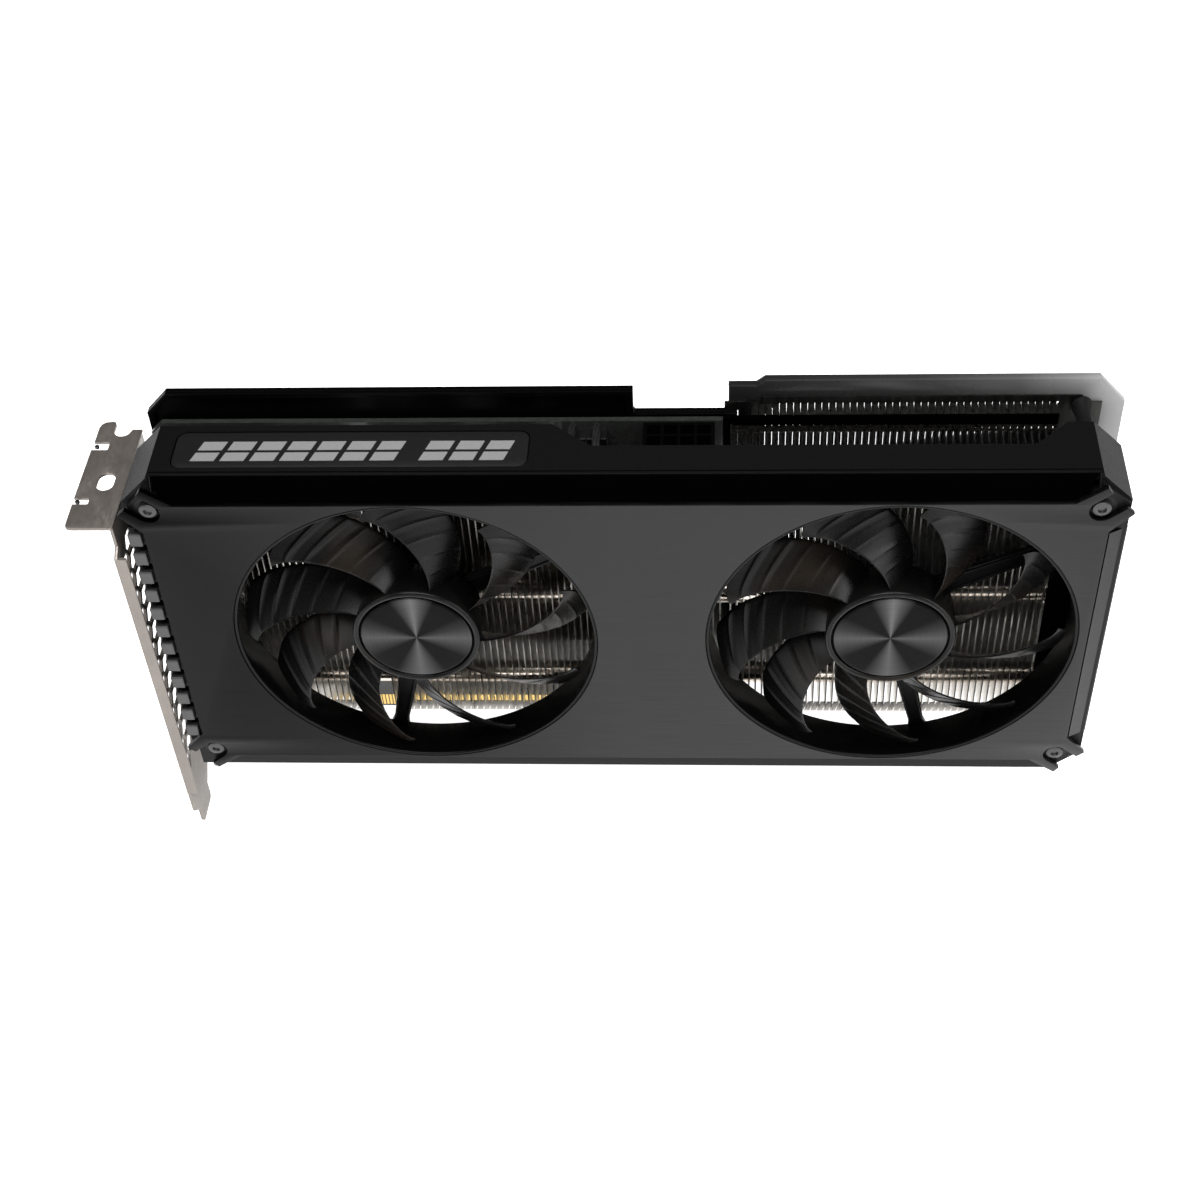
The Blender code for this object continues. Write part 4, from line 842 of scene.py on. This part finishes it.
tab = [(-94.0, -33.4), (-104.4, -33.4), (-105.3, -33.2), (-105.8, -32.7), (-106.0, -31.9), (-106.0, -24.6), (-102.2, -24.6), (-102.0, -24.3), (-102.0, -22.7), (-102.2, -22.4),
       (-106.0, -22.4), (-105.8, -4.2), (-101.7, -4.2), (-101.5, -3.9), (-101.5, -1.5), (-101.7, -1.2), (-105.6, -1.2), (-105.6, 4.4), (-105.2, 5.8), (-104.2, 6.7), (-102.4, 6.95),
       (-101.6, 6.7), (-101.25, 5.6), (-101.3, 3.6)]
for i in range(1, 20):
    a = math.pi + math.pi * 0.86 * i / 20
    tab.append((-99.1 + 2.21 * math.cos(a), 3.3 + 2.21 * math.sin(a)))
tab += [(-96.6, 3.8), (-94.0, 3.8)]
slot = [(-99.2 + 2.2 * math.cos(math.radians(a)), -16.3 + (1.05 if a < 180 else -1.05) + 2.2 * math.sin(math.radians(a)))
        for a in list(range(0, 180, 12)) + [179.9] + list(range(180, 360, 12)) + [359.9]]
outline("bracket_fold", [tab, slot], "Z", BRACKET_TOP - BRACKET_T, BRACKET_TOP, "nickel", edge=0.14, slot="bracket")
bm = bmesh.new()
add_prism(bm, [(BX[0], Y0), (BX[0] + 0.3, Y0 + 0.05), (-92.0, Y0), (-91.8, Y0 + 0.2), (-91.8, Y0 + 0.7), (-92.0, Y0 + BRACKET_T), (BX[1], Y0 + BRACKET_T), (BX[1], Y0 + 1.2), (BX[0], Y0 + 1.2)], "Z", 1.9, 95.0)
# rolled outside of the fold at the tab's root
pts = [(-94.76 + 0.9 - 0.9 * math.cos(math.radians(a)), 102.8 + 0.9 * math.sin(math.radians(a))) for a in range(0, 91, 15)]
fv = [[bm.verts.new((x, y, z)) for x, z in pts + [(-93.9, 102.8)]] for y in (-33.0, 2.9)]
bm.faces.new(fv[0]); bm.faces.new(fv[1])
for i in range(len(fv[0])):
    j = (i + 1) % len(fv[0])
    bm.faces.new((fv[0][i], fv[0][j], fv[1][j], fv[1][i]))
piece(bm, "bracket_flanges", "nickel", slot="bracket")
bm = bmesh.new()
for y, z in ((-23.5, 103.35), (-2.7, 103.35)):
    add_turned(bm, [(0, 102.95), (0.55, 102.95), (0.6, 103.1), (0.6, 103.6), (0.4, 103.7), (0, 103.7)], (-104.9 if y < -10 else -104.6, y), 20, "Z")
piece(bm, "tab_nubs", "blackscrew", slot="steel")
bm = bmesh.new()
for z in (14.0, 100.0):
    add_turned(bm, [(0, -95.9), (0.9, -95.9), (1.0, -96.25), (1.9, -96.25), (2.45, -95.95), (2.6, -95.5), (2.6, -95.1), (0, -95.1)], (-10.5, z), 32, "X")
piece(bm, "bracket_screws", "steel", slot="steel", replaces=("bracket_screw_1", "bracket_screw_2"))
for name, z, w in PORTS:
    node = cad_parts[name]
    node.data.materials.clear()
    node.data.materials.append(M["steel"])
    mod = node.modifiers.new("edge", "BEVEL")
    mod.width, mod.segments, mod.limit_method = 0.15 * MM, 2, "ANGLE"
bm = bmesh.new()
for name, z, w in PORTS:
    add_box(bm, (-94.6, -86.2), (PORT_Y[0] + 1.75, PORT_Y[0] + 2.85), (z - w / 2 + 1.85, z + w / 2 - 1.85))
piece(bm, "port_tongues", "black", slot="port_shell", bevel=0.15)

# ---- backplate -----------------------------------------------------------------------
B_OUT = [(-90.0, 12.0), (60.2, 12.0), (60.2, 110.0), (57.5, 110.2), (34.5, 110.2), (34.0, 110.8), (34.0, RIM_Z), (-84.8, RIM_Z), (-90.6, 111.4)]
B_IN = [(-88.4, 13.6), (58.6, 13.6), (58.6, 108.4), (33.2, 108.4), (32.4, 109.4), (32.4, RIM_Z - 1.5), (-84.1, RIM_Z - 1.5), (-89.0, 110.9)]
vents = []
for i in range(9):                                     # slanted breather slots low on the rear sheet
    x = -72 + i * 6.0
    vents.append([(x, 24.0), (x + 2.2, 24.0), (x + 9.2, 38.0), (x + 7.0, 38.0)])
outline("rear_sheet", [B_OUT], "Y", 2.2, 3.7, "sheet", edge=0.25, slot="black_sheet", replaces=("backplate",))
outline("rear_rim", [B_OUT, B_IN], "Y", H + 0.35, 2.3, "sheet", edge=0.2, slot="black_sheet")
bm = bmesh.new()
for v in vents:
    add_prism(bm, v, "Y", 3.66, 3.78)
add_prism(bm, [(-84, 112.9), (30, 112.9), (30, 113.5), (-84, 113.5)], "Y", 3.66, 3.80)
piece(bm, "rear_ribs", "gloss", slot="black_sheet", flat=True)
F_OUT = [(60.8, 12.0), (149.0, 12.0), (156.4, 19.6), (156.4, 111.8), (149.6, 119.4), (67.0, 119.4), (64.8, RIM_Z), (57.9, RIM_Z), (57.9, 110.8), (60.8, 110.6)]
F_IN = [(66.6, 22.0), (144.0, 22.0), (147.4, 25.4), (147.4, 109.6), (143.0, 114.0), (72.4, 114.0), (66.6, 107.4)]
outline("rear_frame", [F_OUT, F_IN], "Y", 3.0, 5.4, "smoke", edge=0.45, slot="gloss_black", replaces=("backplate_frame",))
bm = bmesh.new()
add_turned(bm, [(0, BODY_BACK + GAP), (2.7, BODY_BACK + GAP), (2.8, -11.4), (2.3, -10.6), (2.05, -8.0), (2.0, -1.0), (2.4, 1.6), (2.6, 2.7), (0, 2.7)], (145.6, 111.4), 40)
piece(bm, "corner_post", "black", slot="black_plastic", replaces=("standoff_post",))
sp = [(-16, 33), (-8, 33), (9.5, 50), (27, 33), (35, 33), (35, 41), (17.5, 59), (35, 77), (35, 85), (27, 85), (9.5, 67.5), (-8, 85), (-16, 85), (-16, 77), (1.5, 59), (-16, 41)]
outline("spring_plate", [sp] + [circle(a, b, 1.5, 24) for a, b in ((-13.0, 36.0), (32.0, 36.0), (-13.0, 82.0), (32.0, 82.0))], "Y", 4.0, 4.8, "steel", edge=0.18, slot="steel",
        replaces=("retention_spring",))
bm = bmesh.new()
for x, z in ((-13.0, 36.0), (32.0, 36.0), (-13.0, 82.0), (32.0, 82.0)):
    add_turned(bm, [(0, 5.9), (0.9, 5.9), (1.1, 6.5), (1.9, 6.5), (2.4, 6.2), (2.5, 5.2), (2.5, 4.85), (0, 4.85)], (x, z), 32)
for x, z in ((-84.0, 18.0), (-84.0, 104.0), (-40.0, 104.0), (28.0, 104.0), (55.0, 18.0), (55.0, 60.0), (28.0, 18.0), (-40.0, 18.0)):
    add_turned(bm, [(0, 4.7), (0.9, 4.7), (1.1, 5.2), (1.8, 5.2), (2.4, 4.7), (2.6, 4.1), (2.6, 3.72), (0, 3.72)], (x, z), 32)
piece(bm, "rear_screws", "blackscrew", slot="black_screws", replaces=("backplate_screw_1", "backplate_screw_2"))

# ---- carried-over CAD nodes ------------------------------------------------------------
CARRIED = {"cold_plate": "pipe", "gpu_package": "die", "memory_chip_1": "chip", "memory_chip_2": "chip", "memory_chip_3": "chip", "memory_chip_4": "chip",
           "choke_1": "ferrite", "choke_2": "ferrite", "choke_3": "ferrite", "capacitor": "can", "fan_plug": "black"}
for s in ("left_fan_", "right_fan_"):
    CARRIED.update({s + "shaft": "steel", s + "bearing": "brass", s + "stator": "copper", s + "board": "board", s + "magnet": "magnet"})
for n, m in CARRIED.items():
    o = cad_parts[n]
    o.data.materials.clear()
    o.data.materials.append(M[m])

# ---- stage: floor, light, camera ---------------------------------------------------------
floor_me = bpy.data.meshes.new("floor")
bm = bmesh.new()
bmesh.ops.create_grid(bm, x_segments=8, y_segments=8, size=4.0)
bm.to_mesh(floor_me)
bm.free()
floor = bpy.data.objects.new("floor", floor_me)
floor.location = (0.03, 0.0, -0.0170)
bpy.context.scene.collection.objects.link(floor)
fm, nt, b = shader("floor_pale", (0.92, 0.92, 0.92), 0.9, 0.0, 0.0)
nz = noise(nt, (6, 6, 6))
nt.links.new(ramp(nt, nz, [(0.3, (0.90, 0.90, 0.90)), (0.7, (0.94, 0.94, 0.94))]), b.inputs["Base Color"])
b.inputs["Emission Color"].default_value = (1, 1, 1, 1)
b.inputs["Emission Strength"].default_value = 0.92
floor_me.materials.append(fm)
floor.visible_diffuse = False
floor.visible_glossy = True
floor.visible_shadow = False

world = bpy.data.worlds.new("studio")
bpy.context.scene.world = world
world.use_nodes = True
bg = next(n for n in world.node_tree.nodes if n.type == "BACKGROUND")
bg.inputs["Color"].default_value = (1, 1, 1, 1)
bg.inputs["Strength"].default_value = 0.035


def area(name, loc, target, size, power, colour=(1, 1, 1)):
    l = bpy.data.lights.new(name, "AREA")
    l.shape = "RECTANGLE"
    l.size, l.size_y = size
    l.energy = power
    l.color = colour
    o = bpy.data.objects.new(name, l)
    bpy.context.scene.collection.objects.link(o)
    o.location = loc
    o.rotation_euler = (Vector(target) - Vector(loc)).to_track_quat("-Z", "Y").to_euler()
    return o


area("top_softbox", (0.05, -0.22, 0.95), (0.03, 0.0, 0.06), (0.9, 0.45), 12.0)
area("front_soft", (0.15, -0.90, 0.25), (0.05, 0.0, 0.06), (0.9, 0.25), 3.0)
area("left_strip", (-0.80, -0.45, 0.50), (-0.05, 0.0, 0.06), (0.25, 0.7), 2.5)
area("right_strip", (0.90, -0.35, 0.35), (0.08, 0.0, 0.06), (0.25, 0.7), 5.0)

cam_data = bpy.data.cameras.new("camera")
cam_data.sensor_width = 36.0
cam_data.lens = 57.827
cam = bpy.data.objects.new("camera", cam_data)
bpy.context.scene.collection.objects.link(cam)
yaw, el, roll = map(math.radians, (-5.0199, 45.8414, -3.5715))
fwd = Vector((math.sin(yaw) * math.cos(el), math.cos(yaw) * math.cos(el), -math.sin(el)))
r0 = Vector((math.cos(yaw), -math.sin(yaw), 0))
u0 = r0.cross(fwd)
r = r0 * math.cos(roll) + u0 * math.sin(roll)
u = -r0 * math.sin(roll) + u0 * math.cos(roll)
cam.matrix_world = Matrix(((r.x, u.x, -fwd.x, 0.05525), (r.y, u.y, -fwd.y, -0.37067), (r.z, u.z, -fwd.z, 0.42707), (0, 0, 0, 1)))
cam_data.clip_start, cam_data.clip_end = 0.01, 20.0
bpy.context.scene.camera = cam
bpy.context.scene.view_settings.view_transform = "Standard"
